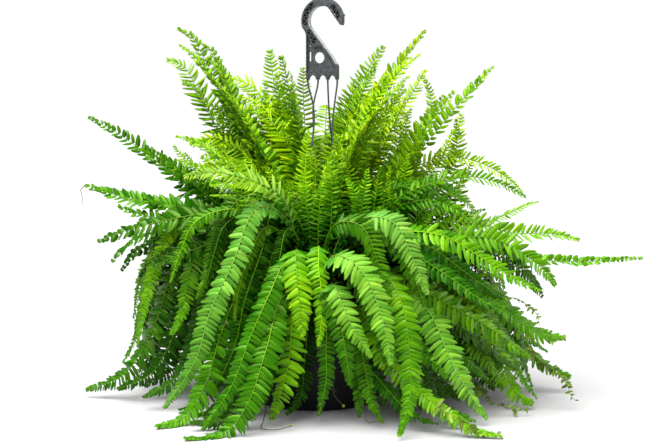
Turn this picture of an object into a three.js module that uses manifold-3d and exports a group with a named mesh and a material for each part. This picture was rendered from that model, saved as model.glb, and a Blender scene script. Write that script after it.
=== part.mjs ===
// A Boston fern in a round plastic basket pot that stands on its foot, with the pot's moulded hook.
// Millimetres, +Z up. The origin is the centre of the foot, on the surface. The front faces -Y.
import * as THREE from 'three';
import { mergeVertices } from 'three/addons/utils/BufferGeometryUtils.js';
import Module from 'manifold-3d';

const wasm = await Module();
wasm.setup();

// Clearance between pieces that touch
const GAP = 0.3;

// Pot: a ten-inch basket pot whose wall swells like a bowl from the foot to a thick lip
const FOOT_RADIUS = 90;
const FOOT_ROUNDING = 8;
const WALL_TOP_RADIUS = 128;
const POT_HEIGHT = 150;
const WALL_THICKNESS = 2.4;
const WALL_SWELL = 1.72;
const WALL_HEIGHTS = [8, 45, 90];
const LIP_RADIUS = 131;
const LIP_HEIGHT = 11;
const ROUND_STEPS = 24;
const DRAIN_HOLES = 5;
const DRAIN_RADIUS = 5;
const DRAIN_CIRCLE = 58;

// Four lugs outside the lip, each with a square hole for a foot of the hanger
const LUG = { length: 11.5, width: 14, height: 10, bottom: 137, circle: 133.3 };
const LUG_HOLE = 4.4;
const LUG_HOLE_CIRCLE = 135;
const LUG_ANGLES = [135, 225, 45, 315];

// Soil: fills the pot to just under the rim and rises a little to the middle
const SOIL_EDGE_HEIGHT = 136;
const SOIL_MIDDLE_HEIGHT = 141;
const SOIL_CROWN_RADIUS = 82;

// Hanger: a plate with an open hook on top and four thin prongs down to the lugs
const PLATE_CENTRE = new THREE.Vector3(10, 0, 555);
const PLATE_TURN = -24;
const PLATE_THICKNESS = 10;
const PLATE_LEFT = -25;
const PLATE_RIGHT = 24;
const PLATE_BOTTOM = -85;
const HOOK_OUTER_RADIUS = 32.5;
const HOOK_INNER_RADIUS = 21;
const RECESS_DEPTH = 3.5;
const RECESS_WALL = 3;
const ROUND_HOLE = { across: -5, up: -54, radius: 7.3, boss: 10 };
const SLOT = { left: -21.2, right: -19, bottom: -59, top: -45 };
const PRONG_WIDTH = 2.4;
const PRONG_STEPS = 11;
const PRONG_STARTS = [-23.8, -7.8, 8, 22.8];

// Where each prong runs, from the plate down to a lug
const PRONG_ROUTES = [
  [[-4, 12, 431], [-4, 17, 392], [-20, 34, 320], [-60, 66, 240], [-90, 91, 185]],
  [[-4, -1, 431], [-4, -7, 392], [-18, -30, 320], [-58, -64, 240], [-90, -91, 185]],
  [[19, 5, 427], [22, 14, 392], [34, 34, 320], [64, 66, 240], [91, 91, 185]],
  [[26, -12, 427], [24, -16, 392], [34, -34, 320], [64, -66, 240], [91, -91, 185]],
];

// Stems: each crown stands in a square hole in the soil, on a spiral of places
const CROWN_SPACING = 9;
const SPARE_PLACES = 16;
const CROWN_WIDTH = 6.4;
const CROWN_BOTTOM = 128;
const CROWN_TOP = 145;
const WIDEST_LEAN = 80;
const GOLDEN_ANGLE = 137.508;

// Fronds: a rib with leaflets cut to it, in one thin arched blade
const BARE_STEM = 0.2;
const LEAFLET_PITCH = 38;
const FEWEST_PAIRS = 6;
const LEAFLET_SWEEP = 22;
const BLADE_THICKNESS = 0.8;
const RIB_WIDTH = [3.4, 1.5];
const RIB_DEPTH = [2.8, 1.2];
const STEM_STEP = 55;

// How far ribs stay from each other, and how a rib that is too near is eased away
const RIB_CLEARANCE = 6;
const CHAIN_STEP = 22;
const EASING_ROUNDS = 40;
const NUDGE_WEIGHTS = [1, 0.6, 0.25];

// How a leaflet may be bent or shortened so that it clears its neighbours
const LEAFLET_CLEARANCE = 2.2;
const BENDS = [0, 14, -14, 28, -28, 42];
const SIZES = [1, 0.75, 0.5, 0.3];
const SURFACE_CLEARANCE = 1.5;
const POT_CLEARANCE = 3;

const TONES = {
  leaf: 0x4a8419,
  bright: 0x78b81f,
  lime: 0x9ccb2b,
  pale: 0x7fae4e,
  dark: 0x2c5716,
};

// Each frond: its name, the frond whose crown it shares, its tone, half its width, its roll about the
// rib, the lift of its leaflets in degrees, and places along its rib from low down to the tip
const FRONDS = [
  ['left_high_1', '', 'leaf', 28, -40, 28, [[-45, 0, 255], [-95, 15, 375], [-140, 25, 455],
    [-165, 30, 500], [-185, 35, 535], [-205, 35, 545]]],
  ['left_high_2', '', 'leaf', 25, -42, 25, [[-40, -30, 255], [-85, -35, 365], [-140, -35, 460],
    [-170, -35, 500], [-195, -35, 520]]],
  ['left_high_3', '', 'leaf', 28, -50, 12, [[-50, 60, 235], [-120, 70, 360], [-175, 75, 445],
    [-200, 75, 490], [-225, 75, 500]]],
  ['left_high_4', '', 'lime', 31, -60, 0, [[-15, 0, 270], [-35, 20, 370], [-70, 35, 430],
    [-95, 35, 460], [-135, 30, 475]]],
  ['left_out_1', '', 'leaf', 28, -42, 28, [[-60, 30, 230], [-135, 40, 280], [-220, 40, 335],
    [-295, 40, 390], [-340, 40, 415]]],
  ['left_back_1', '', 'leaf', 22, -30, 10, [[-55, 75, 220], [-140, 95, 290], [-195, 100, 340],
    [-220, 100, 370]]],
  ['left_mid_1', '', 'leaf', 26, -70, 5, [[-35, -65, 245], [-100, -85, 330], [-145, -90, 370],
    [-180, -95, 390]]],
  ['left_pale', '', 'pale', 24, -55, 10, [[-20, -110, 215], [-30, -125, 265], [-45, -140, 310],
    [-90, -155, 335], [-135, -165, 345], [-175, -170, 340]]],
  ['left_lime', 'left_pale', 'lime', 16, -55, 5, [[-25, -90, 245], [-45, -110, 295], [-75, -120, 320],
    [-110, -130, 325], [-145, -130, 325]]],
  ['left_out_2', '', 'leaf', 28, -42, 22, [[-70, -20, 235], [-160, -40, 280], [-240, -50, 295],
    [-285, -50, 305], [-330, -50, 320]]],
  ['left_out_3', '', 'leaf', 32, -55, 0, [[-75, -60, 245], [-150, -90, 280], [-205, -100, 275],
    [-260, -100, 260], [-305, -100, 245]]],
  ['left_out_4', '', 'leaf', 28, -40, 0, [[-80, 10, 220], [-165, 20, 255], [-240, 20, 245],
    [-285, 20, 225], [-305, 20, 200]]],
  ['left_low_1', '', 'leaf', 32, -60, -12, [[-90, 5, 200], [-165, -10, 230], [-210, -20, 185],
    [-235, -25, 115], [-283, -20, 38], [-343, -5, 12]]],
  ['left_low_2', '', 'leaf', 29, -75, -12, [[-100, 60, 220], [-180, 80, 255], [-235, 90, 205], [-257, 95, 130],
    [-270, 95, 60]]],
  ['top_1', '', 'leaf', 28, -40, 5, [[-25, 40, 245], [-45, 50, 350], [-55, 55, 420], [-65, 60, 475],
    [-70, 60, 515]]],
  ['top_2', '', 'leaf', 28, -115, 5, [[-10, 0, 245], [-25, 0, 370], [-40, 0, 460], [-50, -5, 505]]],
  ['top_3', 'top_1', 'leaf', 24, 0, 5, [[-5, 70, 235], [-15, 80, 365], [-20, 85, 445], [-20, 90, 490]]],
  ['top_4', '', 'leaf', 26, 65, 8, [[20, 20, 245], [40, 30, 380], [60, 35, 450], [80, 35, 490],
    [100, 35, 520]]],
  ['right_high_1', '', 'leaf', 28, 50, 28, [[25, -30, 235], [45, -40, 355], [70, -45, 420],
    [115, -50, 485], [155, -50, 540]]],
  ['right_high_2', '', 'leaf', 24, 50, 25, [[20, -80, 250], [45, -90, 350], [75, -100, 430],
    [110, -100, 475], [145, -100, 505]]],
  ['right_high_3', '', 'leaf', 26, 45, 8, [[35, 60, 225], [75, 75, 335], [120, 80, 410],
    [145, 80, 450], [165, 80, 485]]],
  ['right_lime', 'right_high_3', 'lime', 22, 35, -10, [[50, 100, 215], [130, 110, 340],
    [170, 110, 400], [175, 105, 445], [160, 100, 480]]],
  ['right_high_4', '', 'leaf', 27, 48, 30, [[35, -10, 220], [95, -20, 310], [160, -30, 380],
    [205, -30, 435], [255, -30, 490]]],
  ['right_up_1', '', 'leaf', 30, 60, 5, [[45, 30, 200], [135, 40, 225], [190, 40, 260], [205, 40, 320],
    [210, 40, 380], [215, 40, 420]]],
  ['right_arch_1', '', 'leaf', 26, 42, 22, [[35, -70, 230], [100, -90, 295], [160, -95, 325],
    [215, -95, 335], [260, -95, 325], [295, -95, 305]]],
  ['right_sparse', '', 'leaf', 20, 30, 0, [[55, 60, 195], [145, 80, 230], [235, 85, 245],
    [290, 85, 265], [320, 85, 280], [340, 85, 285]]],
  ['right_arch_2', '', 'leaf', 28, 40, 15, [[50, -30, 220], [140, -40, 260], [220, -45, 265],
    [285, -45, 250], [340, -45, 250], [380, -45, 240]]],
  ['right_long', '', 'leaf', 24, 40, 30, [[55, 20, 195], [155, 30, 230], [250, 30, 230],
    [315, 30, 205], [395, 30, 200], [490, 30, 205]]],
  ['right_arch_3', '', 'leaf', 30, 55, 0, [[50, -60, 200], [145, -80, 235], [230, -90, 250],
    [280, -90, 235], [315, -90, 210], [340, -90, 180]]],
  ['right_arch_4', '', 'lime', 32, 40, 0, [[35, -110, 225], [105, -140, 260], [170, -160, 260],
    [225, -165, 230], [265, -170, 205], [305, -170, 185]]],
  ['front_pale_1', '', 'pale', 33, 50, -12, [[20, -130, 215], [40, -150, 265], [70, -170, 285],
    [105, -185, 280], [130, -200, 235], [150, -205, 185]]],
  ['front_pale_2', '', 'pale', 34, 25, -12, [[10, -140, 195], [20, -170, 230], [40, -200, 235],
    [65, -220, 215], [85, -235, 170], [95, -245, 130], [100, -250, 100]]],
  ['front_bright', '', 'bright', 30, 0, -12, [[-15, -120, 215], [-25, -155, 240], [-25, -185, 220],
    [-20, -205, 175], [-15, -210, 130]]],
  ['front_twist', 'front_bright', 'lime', 22, 0, -15, [[0, -125, 220], [5, -150, 245], [5, -180, 220],
    [10, -195, 170], [5, -200, 115]]],
  ['front_mid', '', 'pale', 28, 15, -12, [[15, -150, 185], [25, -185, 195], [40, -210, 165],
    [55, -220, 135], [75, -225, 105]]],
  ['up_1', '', 'leaf', 24, 65, 0, [[15, -85, 190], [25, -75, 255], [25, -60, 315], [25, -40, 370]]],
  ['up_2', 'top_4', 'leaf', 22, 100, 0, [[25, -60, 200], [50, -55, 280], [55, -40, 330],
    [55, -20, 385]]],
  ['up_3', '', 'leaf', 24, 65, 0, [[40, -80, 185], [95, -85, 245], [120, -75, 295], [130, -60, 365]]],
  ['up_4', '', 'lime', 22, -115, -5, [[-5, -80, 200], [-10, -70, 285], [-15, -55, 340],
    [-10, -35, 400]]],
  ['up_5', 'left_mid_1', 'lime', 20, -60, 0, [[-25, -50, 225], [-60, -50, 295], [-85, -45, 340],
    [-105, -35, 370]]],
  ['up_6', 'right_high_4', 'leaf', 26, 60, 0, [[45, 0, 210], [115, -10, 285], [155, -15, 330],
    [180, -15, 370]]],
  ['front_left_1', '', 'pale', 33, -40, -12, [[-20, -100, 225], [-50, -130, 290], [-80, -150, 295],
    [-110, -180, 225], [-140, -190, 160], [-160, -195, 95], [-205, -185, 25]]],
  ['front_left_2', '', 'lime', 15, -40, -12, [[-35, -125, 245], [-65, -135, 270], [-90, -145, 230],
    [-105, -150, 180], [-110, -155, 140]]],
  ['front_left_3', '', 'leaf', 30, -55, -12, [[-30, -70, 240], [-70, -90, 305], [-105, -100, 305],
    [-130, -110, 265], [-145, -115, 215], [-165, -120, 165]]],
  ['front_left_4', '', 'leaf', 30, -50, -12, [[-45, -40, 235], [-110, -60, 275], [-150, -75, 255],
    [-175, -85, 205], [-190, -90, 140], [-205, -95, 110]]],
  ['front_left_5', 'front_left_4', 'lime', 20, -50, -12, [[-45, -80, 255], [-110, -105, 290],
    [-165, -125, 275], [-185, -130, 235], [-200, -135, 190]]],
  ['front_dark', 'front_left_3', 'dark', 24, -55, -12, [[-20, -90, 230], [-40, -110, 265],
    [-60, -125, 240], [-70, -130, 200], [-75, -130, 170]]],
  ['front_left_6', '', 'leaf', 33, -30, -12, [[-25, -120, 205], [-40, -160, 225], [-60, -190, 185],
    [-85, -205, 130], [-110, -215, 65], [-150, -220, 5]]],
  ['front_left_7', '', 'leaf', 30, -30, -12, [[-55, -80, 175], [-100, -110, 180], [-130, -140, 120],
    [-150, -155, 55], [-180, -170, 10], [-215, -195, 5]]],
  ['front_floor_1', '', 'leaf', 28, -25, -12, [[-20, -130, 175], [-45, -170, 175], [-65, -210, 110],
    [-90, -230, 40], [-120, -235, 5], [-170, -255, 5]]],
  ['front_left_8', '', 'dark', 26, -15, -12, [[-20, -110, 165], [-40, -140, 140], [-60, -165, 90],
    [-80, -185, 45], [-100, -205, 5]]],
  ['pot_front_1', '', 'bright', 26, 0, -12, [[-15, -130, 175], [-20, -160, 170], [-30, -180, 140],
    [-35, -185, 90], [-45, -190, 50], [-60, -180, 10]]],
  ['pot_front_2', '', 'leaf', 16, 0, -12, [[5, -140, 165], [15, -165, 145], [15, -180, 100],
    [15, -185, 65], [5, -180, 15]]],
  ['pot_front_3', 'pot_front_2', 'dark', 18, 0, 0, [[-5, -126, 166], [-10, -146, 130], [-15, -145, 80],
    [-20, -150, 35], [-40, -150, 10]]],
  ['pot_right_1', '', 'dark', 18, 0, 0, [[25, -130, 165], [45, -155, 145], [55, -170, 95],
    [60, -175, 45], [60, -170, 10]]],
  ['pot_right_2', 'pot_right_1', 'leaf', 18, 0, -12, [[35, -140, 160], [55, -170, 140], [65, -185, 95],
    [75, -190, 45], [90, -195, 10]]],
  ['pot_right_3', 'pot_right_1', 'leaf', 18, 0, 0, [[38, -104, 168], [68, -136, 145], [82, -148, 95],
    [90, -145, 50], [95, -145, 20]]],
  ['front_right_1', '', 'leaf', 24, 20, -12, [[45, -120, 190], [90, -160, 210], [115, -195, 175],
    [125, -220, 115], [125, -240, 55], [110, -255, 5]]],
  ['front_right_2', '', 'pale', 31, 35, -12, [[50, -90, 180], [110, -130, 190], [155, -155, 155],
    [180, -170, 100], [210, -175, 45], [235, -175, 10]]],
  ['front_floor_2', '', 'lime', 24, 25, 0, [[40, -130, 165], [75, -165, 140], [100, -190, 90],
    [140, -205, 55], [180, -225, 25], [210, -235, 10], [245, -245, 5]]],
  ['right_low_1', 'right_mid_1', 'leaf', 28, 40, -12, [[50, -50, 180], [125, -80, 200],
    [190, -95, 160], [225, -100, 100], [260, -100, 50]]],
  ['right_low_2', '', 'leaf', 32, 50, -12, [[60, -30, 175], [150, -55, 195], [220, -70, 150],
    [265, -80, 70], [285, -80, 25], [310, -85, 10]]],
  ['right_mid_1', '', 'leaf', 26, 40, -12, [[50, -100, 195], [105, -130, 205], [160, -145, 175],
    [215, -150, 145], [255, -150, 120], [295, -150, 90]]],
  ['right_mid_2', '', 'leaf', 34, 55, -12, [[55, 0, 190], [150, -15, 215], [240, -25, 170],
    [290, -25, 125], [330, -25, 100], [365, -25, 95]]],
  ['right_mid_3', '', 'leaf', 28, 50, -12, [[55, 40, 175], [165, 40, 195], [260, 35, 145],
    [310, 30, 75], [350, 30, 40], [385, 30, 25]]],
  ['right_mid_4', 'right_sparse', 'leaf', 24, 55, 0, [[55, 60, 195], [160, 75, 225], [230, 80, 215],
    [270, 85, 185], [290, 85, 150]]],
];

// Back of the plant: four rows of fronds that arch away evenly, one of each row to a crown
const BACK_CROWNS = 5;
const BACK_ANGLES = [28, 152];
const BACK_STEPS = [0.25, 0.5, 0.8, 1];
const BACK_CURL = 6;
const REACH_VARIATION = 0.08;
const SIDE_SHORTENING = 0.25;
const BACK_ROWS = [
  { name: 'low', offset: 0, reach: 345, half: 31, roll: 0, heights: [205, 240, 150, 25] },
  { name: 'middle', offset: 11, reach: 330, half: 30, roll: 20, heights: [265, 320, 305, 240] },
  { name: 'upper', offset: 20, reach: 265, half: 29, roll: 50, heights: [265, 345, 385, 375] },
  { name: 'high', offset: -10, reach: 195, half: 29, roll: 60, heights: [280, 375, 425, 430] },
];

function radians(degrees) {
  return THREE.MathUtils.degToRad(degrees);
}

function mix(pair, t) {
  return pair[0] + (pair[1] - pair[0]) * t;
}

// Closed three.js geometry as a manifold solid
function toSolid(geometry) {
  const plain = geometry.index ? geometry.toNonIndexed() : geometry.clone();
  plain.deleteAttribute('normal');
  plain.deleteAttribute('uv');
  const merged = mergeVertices(plain, 1e-4);
  const corners = merged.index.array;
  const kept = [];
  for (let i = 0; i < corners.length; i += 3) {
    const [a, b, c] = [corners[i], corners[i + 1], corners[i + 2]];
    if (a !== b && b !== c && c !== a) kept.push(a, b, c);
  }
  return new wasm.Manifold(new wasm.Mesh({
    numProp: 3,
    vertProperties: new Float32Array(merged.attributes.position.array),
    triVerts: new Uint32Array(kept),
  }));
}

function toGeometry(solid) {
  const mesh = solid.getMesh();
  const geometry = new THREE.BufferGeometry();
  geometry.setAttribute('position', new THREE.BufferAttribute(new Float32Array(mesh.vertProperties), 3));
  geometry.setIndex(new THREE.BufferAttribute(new Uint32Array(mesh.triVerts), 1));
  geometry.computeVertexNormals();
  return geometry;
}

function named(name, solid, colour, roughness) {
  const material = new THREE.MeshStandardMaterial({ color: colour, roughness, metalness: 0 });
  const mesh = new THREE.Mesh(toGeometry(solid), material);
  mesh.name = name;
  return mesh;
}

// Box with its middle at a place, turned about +Z
function box(width, depth, height, middle, turn = 0) {
  const geometry = new THREE.BoxGeometry(width, depth, height);
  geometry.rotateZ(radians(turn));
  geometry.translate(middle.x, middle.y, middle.z);
  return toSolid(geometry);
}

function aroundAxis(profile) {
  const geometry = new THREE.LatheGeometry(profile.map(([r, z]) => new THREE.Vector2(r, z)), ROUND_STEPS);
  geometry.rotateX(Math.PI / 2);
  return toSolid(geometry);
}

function onCircle(radius, angle, height) {
  return new THREE.Vector3(radius * Math.cos(radians(angle)), radius * Math.sin(radians(angle)), height);
}

// Outer radius of the pot's wall at a height
function wallRadius(z) {
  const rise = THREE.MathUtils.clamp(z / POT_HEIGHT, 0, 1);
  return FOOT_RADIUS + (WALL_TOP_RADIUS - FOOT_RADIUS) * (1 - (1 - rise) ** WALL_SWELL);
}

function innerWall(z) {
  return [wallRadius(z) - WALL_THICKNESS, z];
}

function makePot() {
  const foot = [];
  for (const turn of [0, 35, 65]) {
    const edge = wallRadius(FOOT_ROUNDING) - FOOT_ROUNDING * (1 - Math.sin(radians(turn)));
    foot.push([edge, FOOT_ROUNDING * (1 - Math.cos(radians(turn)))]);
  }
  const lipBottom = POT_HEIGHT - LIP_HEIGHT;
  const outside = [...WALL_HEIGHTS, lipBottom].map((z) => [wallRadius(z), z]);
  const lip = [[LIP_RADIUS, lipBottom], [LIP_RADIUS, POT_HEIGHT]];
  const inside = [...WALL_HEIGHTS, SOIL_EDGE_HEIGHT, POT_HEIGHT].reverse();
  const floor = [[foot[0][0] - 1, WALL_THICKNESS], [0, WALL_THICKNESS]];
  let pot = aroundAxis([[0, 0], ...foot, ...outside, ...lip, ...inside.map(innerWall), ...floor, [0, 0]]);
  for (let i = 0; i < DRAIN_HOLES; i += 1) {
    const hole = new THREE.CylinderGeometry(DRAIN_RADIUS, DRAIN_RADIUS, 4 * WALL_THICKNESS, 6);
    hole.rotateX(Math.PI / 2);
    const middle = onCircle(DRAIN_CIRCLE, (i + 0.5) * 360 / DRAIN_HOLES, 0);
    hole.translate(middle.x, middle.y, middle.z);
    pot = pot.subtract(toSolid(hole));
  }
  for (const angle of LUG_ANGLES) {
    const middle = onCircle(LUG.circle, angle, LUG.bottom + LUG.height / 2);
    const hole = onCircle(LUG_HOLE_CIRCLE, angle, LUG.bottom + LUG.height / 2);
    pot = pot.add(box(LUG.length, LUG.width, LUG.height, middle, angle));
    pot = pot.subtract(box(LUG_HOLE, LUG_HOLE, 2 * LUG.height, hole, angle));
  }
  return named('pot', pot, 0x0b0c0b, 0.42);
}

function makeSoil(crowns) {
  const bottom = WALL_THICKNESS + GAP;
  const levels = [...WALL_HEIGHTS, SOIL_EDGE_HEIGHT];
  const [low, ...wall] = levels.map(innerWall).map(([r, z]) => [r - 1.2 * GAP, z]);
  let soil = aroundAxis([
    [0, bottom], [FOOT_RADIUS - 2 * FOOT_ROUNDING, bottom], [low[0], low[1] + 1], ...wall,
    [SOIL_CROWN_RADIUS, SOIL_MIDDLE_HEIGHT - 1], [0, SOIL_MIDDLE_HEIGHT], [0, bottom],
  ]);
  const side = CROWN_WIDTH + 2 * GAP;
  const depth = SOIL_MIDDLE_HEIGHT + 5 - (CROWN_BOTTOM - GAP);
  for (const crown of crowns) {
    const middle = crown.place.clone().setZ(CROWN_BOTTOM - GAP + depth / 2);
    soil = soil.subtract(box(side, side, depth, middle, crown.turn));
  }
  return named('soil', soil, 0x1d140c, 0.95);
}

// Outline of the plate and hook, across and up from the middle of the hook's loop
function hangerOutline() {
  const outline = new THREE.Shape();
  const neck = PRONG_WIDTH / 2;
  outline.moveTo(PLATE_LEFT, PLATE_BOTTOM);
  for (let i = 0; i < 3; i += 1) {
    const left = PRONG_STARTS[i] + neck;
    const right = PRONG_STARTS[i + 1] - neck;
    const radius = (right - left) / 2;
    for (const turn of [180, 135, 90, 45, 0]) {
      const corner = onCircle(radius, turn, 0);
      outline.lineTo(left + radius + corner.x, PLATE_BOTTOM + corner.y);
    }
  }
  outline.lineTo(PLATE_RIGHT, PLATE_BOTTOM);
  outline.lineTo(PLATE_RIGHT, -66);
  outline.lineTo(15.5, -52);
  outline.lineTo(-19, -9);
  outline.absarc(0, 0, HOOK_INNER_RADIUS, radians(205), radians(75), true);
  outline.lineTo(29, -7);
  outline.lineTo(32, -7.5);
  outline.absarc(0, 0, HOOK_OUTER_RADIUS, radians(-8), radians(67), false);
  outline.lineTo(11, 43);
  outline.lineTo(-11, 43);
  outline.absarc(0, 0, HOOK_OUTER_RADIUS, radians(113), radians(197), false);
  outline.lineTo(PLATE_LEFT, -20);
  const hole = new THREE.Path();
  hole.absarc(ROUND_HOLE.across, ROUND_HOLE.up, ROUND_HOLE.radius, 0, 2 * Math.PI, false);
  const slot = new THREE.Path([
    new THREE.Vector2(SLOT.left, SLOT.bottom), new THREE.Vector2(SLOT.right, SLOT.bottom),
    new THREE.Vector2(SLOT.right, SLOT.top), new THREE.Vector2(SLOT.left, SLOT.top),
  ]);
  outline.holes.push(hole, slot);
  return outline;
}

// Outlines of the two recesses in each face of the plate and hook
function recessOutlines() {
  const plate = new THREE.Shape([
    new THREE.Vector2(PLATE_LEFT + RECESS_WALL, PLATE_BOTTOM + 10),
    new THREE.Vector2(PLATE_RIGHT - RECESS_WALL, PLATE_BOTTOM + 10),
    new THREE.Vector2(PLATE_RIGHT - RECESS_WALL, -67),
    new THREE.Vector2(13.2, -54.1),
    new THREE.Vector2(PLATE_LEFT + RECESS_WALL, -12),
  ]);
  const boss = new THREE.Path();
  boss.absarc(ROUND_HOLE.across, ROUND_HOLE.up, ROUND_HOLE.boss, 0, 2 * Math.PI, false);
  plate.holes.push(boss);
  const band = new THREE.Shape();
  band.absarc(0, 0, HOOK_OUTER_RADIUS - RECESS_WALL, radians(8), radians(188), false);
  band.absarc(0, 0, HOOK_INNER_RADIUS + RECESS_WALL, radians(188), radians(60), true);
  return [plate, band];
}

// A flat outline as a slab between two depths, turned upright into the plate's place
function upright(outline, front, back, curveSegments) {
  const geometry = new THREE.ExtrudeGeometry(outline, {
    depth: back - front, bevelEnabled: false, steps: 1, curveSegments,
  });
  geometry.translate(0, 0, front);
  geometry.rotateX(Math.PI / 2);
  geometry.rotateZ(radians(PLATE_TURN));
  geometry.translate(PLATE_CENTRE.x, PLATE_CENTRE.y, PLATE_CENTRE.z);
  return toSolid(geometry);
}

// The line of one prong, from inside the plate to under its lug
function prongLine(i) {
  const turn = radians(PLATE_TURN);
  const start = (up) => new THREE.Vector3(
    PLATE_CENTRE.x + PRONG_STARTS[i] * Math.cos(turn),
    PLATE_CENTRE.y + PRONG_STARTS[i] * Math.sin(turn),
    PLATE_CENTRE.z + PLATE_BOTTOM + up,
  );
  const foot = (z) => onCircle(LUG_HOLE_CIRCLE, LUG_ANGLES[i], z);
  const places = PRONG_ROUTES[i].map((p) => new THREE.Vector3(...p));
  const top = LUG.bottom + LUG.height;
  return new THREE.CatmullRomCurve3([start(5), start(-6), ...places, foot(top + 14), foot(LUG.bottom - 3)]);
}

function makeHanger() {
  const half = PLATE_THICKNESS / 2;
  let hanger = upright(hangerOutline(), -half, half, 5);
  for (const outline of recessOutlines()) {
    hanger = hanger.subtract(upright(outline, half - RECESS_DEPTH, half + 1, 4));
    hanger = hanger.subtract(upright(outline, -half - 1, RECESS_DEPTH - half, 4));
  }
  const side = PRONG_WIDTH / 2;
  const section = new THREE.Shape([
    new THREE.Vector2(-side, -side), new THREE.Vector2(side, -side),
    new THREE.Vector2(side, side), new THREE.Vector2(-side, side),
  ]);
  LUG_ANGLES.forEach((angle, i) => {
    const prong = new THREE.ExtrudeGeometry(section, { extrudePath: prongLine(i), steps: PRONG_STEPS });
    hanger = hanger.add(toSolid(prong));
    const collar = onCircle(LUG_HOLE_CIRCLE, angle, LUG.bottom + LUG.height + GAP + 1.5);
    const head = onCircle(LUG_HOLE_CIRCLE, angle, LUG.bottom - GAP - 2.5);
    hanger = hanger.add(box(6.5, 7, 3, collar, angle));
    hanger = hanger.add(box(6, 7, 5, head, angle));
  });
  return named('hanger', hanger, 0x4d5154, 0.5);
}

// Rows of the table and of the rule for the back, as plain records
function listFronds() {
  const fronds = FRONDS.map(([name, shares, tone, half, roll, lift, via]) => (
    { name, shares, tone, half, roll, lift, via: via.map((p) => new THREE.Vector3(...p)) }
  ));
  for (let i = 0; i < BACK_CROWNS; i += 1) {
    for (const row of BACK_ROWS) {
      const angle = mix(BACK_ANGLES, i / (BACK_CROWNS - 1)) + row.offset;
      const reach = row.reach * (1 + REACH_VARIATION * Math.sin(5 * i + row.half));
      const shortened = reach * (1 - SIDE_SHORTENING * Math.abs(Math.cos(radians(angle))));
      fronds.push({
        name: `back_${row.name}_${i + 1}`,
        shares: row.name === 'low' ? '' : `back_low_${i + 1}`,
        tone: row.name === 'middle' ? 'bright' : 'leaf',
        half: row.half,
        roll: row.roll * Math.cos(radians(angle)),
        lift: 0,
        via: BACK_STEPS.map((step, k) => onCircle(step * shortened, angle + BACK_CURL * step, row.heights[k])),
      });
    }
  }
  return fronds;
}

// Crowns on a spiral: the fronds that lean out most take the outer places, each the nearest free one
function placeCrowns(fronds) {
  const crowns = fronds.filter((frond) => !frond.shares).map((frond) => {
    const low = frond.via[0];
    const out = Math.hypot(low.x, low.y);
    const lean = THREE.MathUtils.radToDeg(Math.atan2(out, low.z - CROWN_TOP));
    return { frond, lean, direction: THREE.MathUtils.radToDeg(Math.atan2(low.y, low.x)) };
  });
  const places = crowns.length + SPARE_PLACES;
  const widest = CROWN_SPACING * Math.sqrt(places);
  const free = [];
  for (let i = 0; i < places; i += 1) {
    free.push(onCircle(CROWN_SPACING * Math.sqrt(i + 0.5), i * GOLDEN_ANGLE, CROWN_TOP));
  }
  crowns.sort((a, b) => b.lean - a.lean);
  for (const crown of crowns) {
    const out = widest * Math.min(crown.lean / WIDEST_LEAN, 1);
    const wanted = onCircle(out, crown.direction, CROWN_TOP);
    free.sort((a, b) => a.distanceTo(wanted) - b.distanceTo(wanted));
    crown.place = free.shift();
    const tip = crown.frond.via[crown.frond.via.length - 1];
    crown.turn = THREE.MathUtils.radToDeg(Math.atan2(tip.y - crown.place.y, tip.x - crown.place.x));
  }
  return crowns;
}

function smoothCurve(places) {
  return new THREE.CatmullRomCurve3(places, false, 'centripetal');
}

// Places along a rib: the crown's bottom and top, then even steps up the stem and out to the tip
function ribChain(frond, place, isFirst) {
  const bottom = place.clone().setZ(CROWN_BOTTOM + (isFirst ? 0 : 2));
  const top = place.clone().setZ(CROWN_TOP - (isFirst ? 0 : 1));
  const curve = smoothCurve([bottom, top, ...frond.via]);
  const crownShare = (top.z - bottom.z) / curve.getLength();
  const steps = Math.round(curve.getLength() / CHAIN_STEP);
  const chain = [bottom, top];
  for (let i = 1; i <= steps; i += 1) chain.push(curve.getPointAt(mix([crownShare, 1], i / steps)));
  return chain;
}

// Moves the places round one segment of a chain, and the next ones less, so that the rib stays smooth
function nudge(chain, k, push) {
  for (let i = 2; i < chain.length; i += 1) {
    const steps = i <= k ? k - i : i - k - 1;
    if (steps < NUDGE_WEIGHTS.length) chain[i].addScaledVector(push, NUDGE_WEIGHTS[steps]);
  }
}

// Ribs that would touch each other or a prong are eased apart
function easeApart(chains) {
  for (let round = 0; round < EASING_ROUNDS; round += 1) {
    chains.forEach((one, i) => {
      for (const other of chains.slice(0, i)) {
        if (one.crown === other.crown) continue;
        for (let k = 0; k < one.places.length - 1; k += 1) {
          for (let m = 0; m < other.places.length - 1; m += 1) {
            const [a, b, c, d] = [one.places[k], one.places[k + 1], other.places[m], other.places[m + 1]];
            if (a.distanceTo(c) > a.distanceTo(b) + c.distanceTo(d) + RIB_CLEARANCE) continue;
            const between = segmentLink(a, b, c, d);
            const lack = RIB_CLEARANCE - between.length();
            if (lack <= 0) continue;
            if (between.length() < 0.5) between.crossVectors(b.clone().sub(a), d.clone().sub(c));
            const push = between.normalize().multiplyScalar(lack);
            const share = other.isFixed ? 1 : 0.5;
            nudge(one.places, k, push.clone().multiplyScalar(share));
            if (!other.isFixed) nudge(other.places, m, push.clone().multiplyScalar(share - 1));
          }
        }
      }
    });
  }
}

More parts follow.
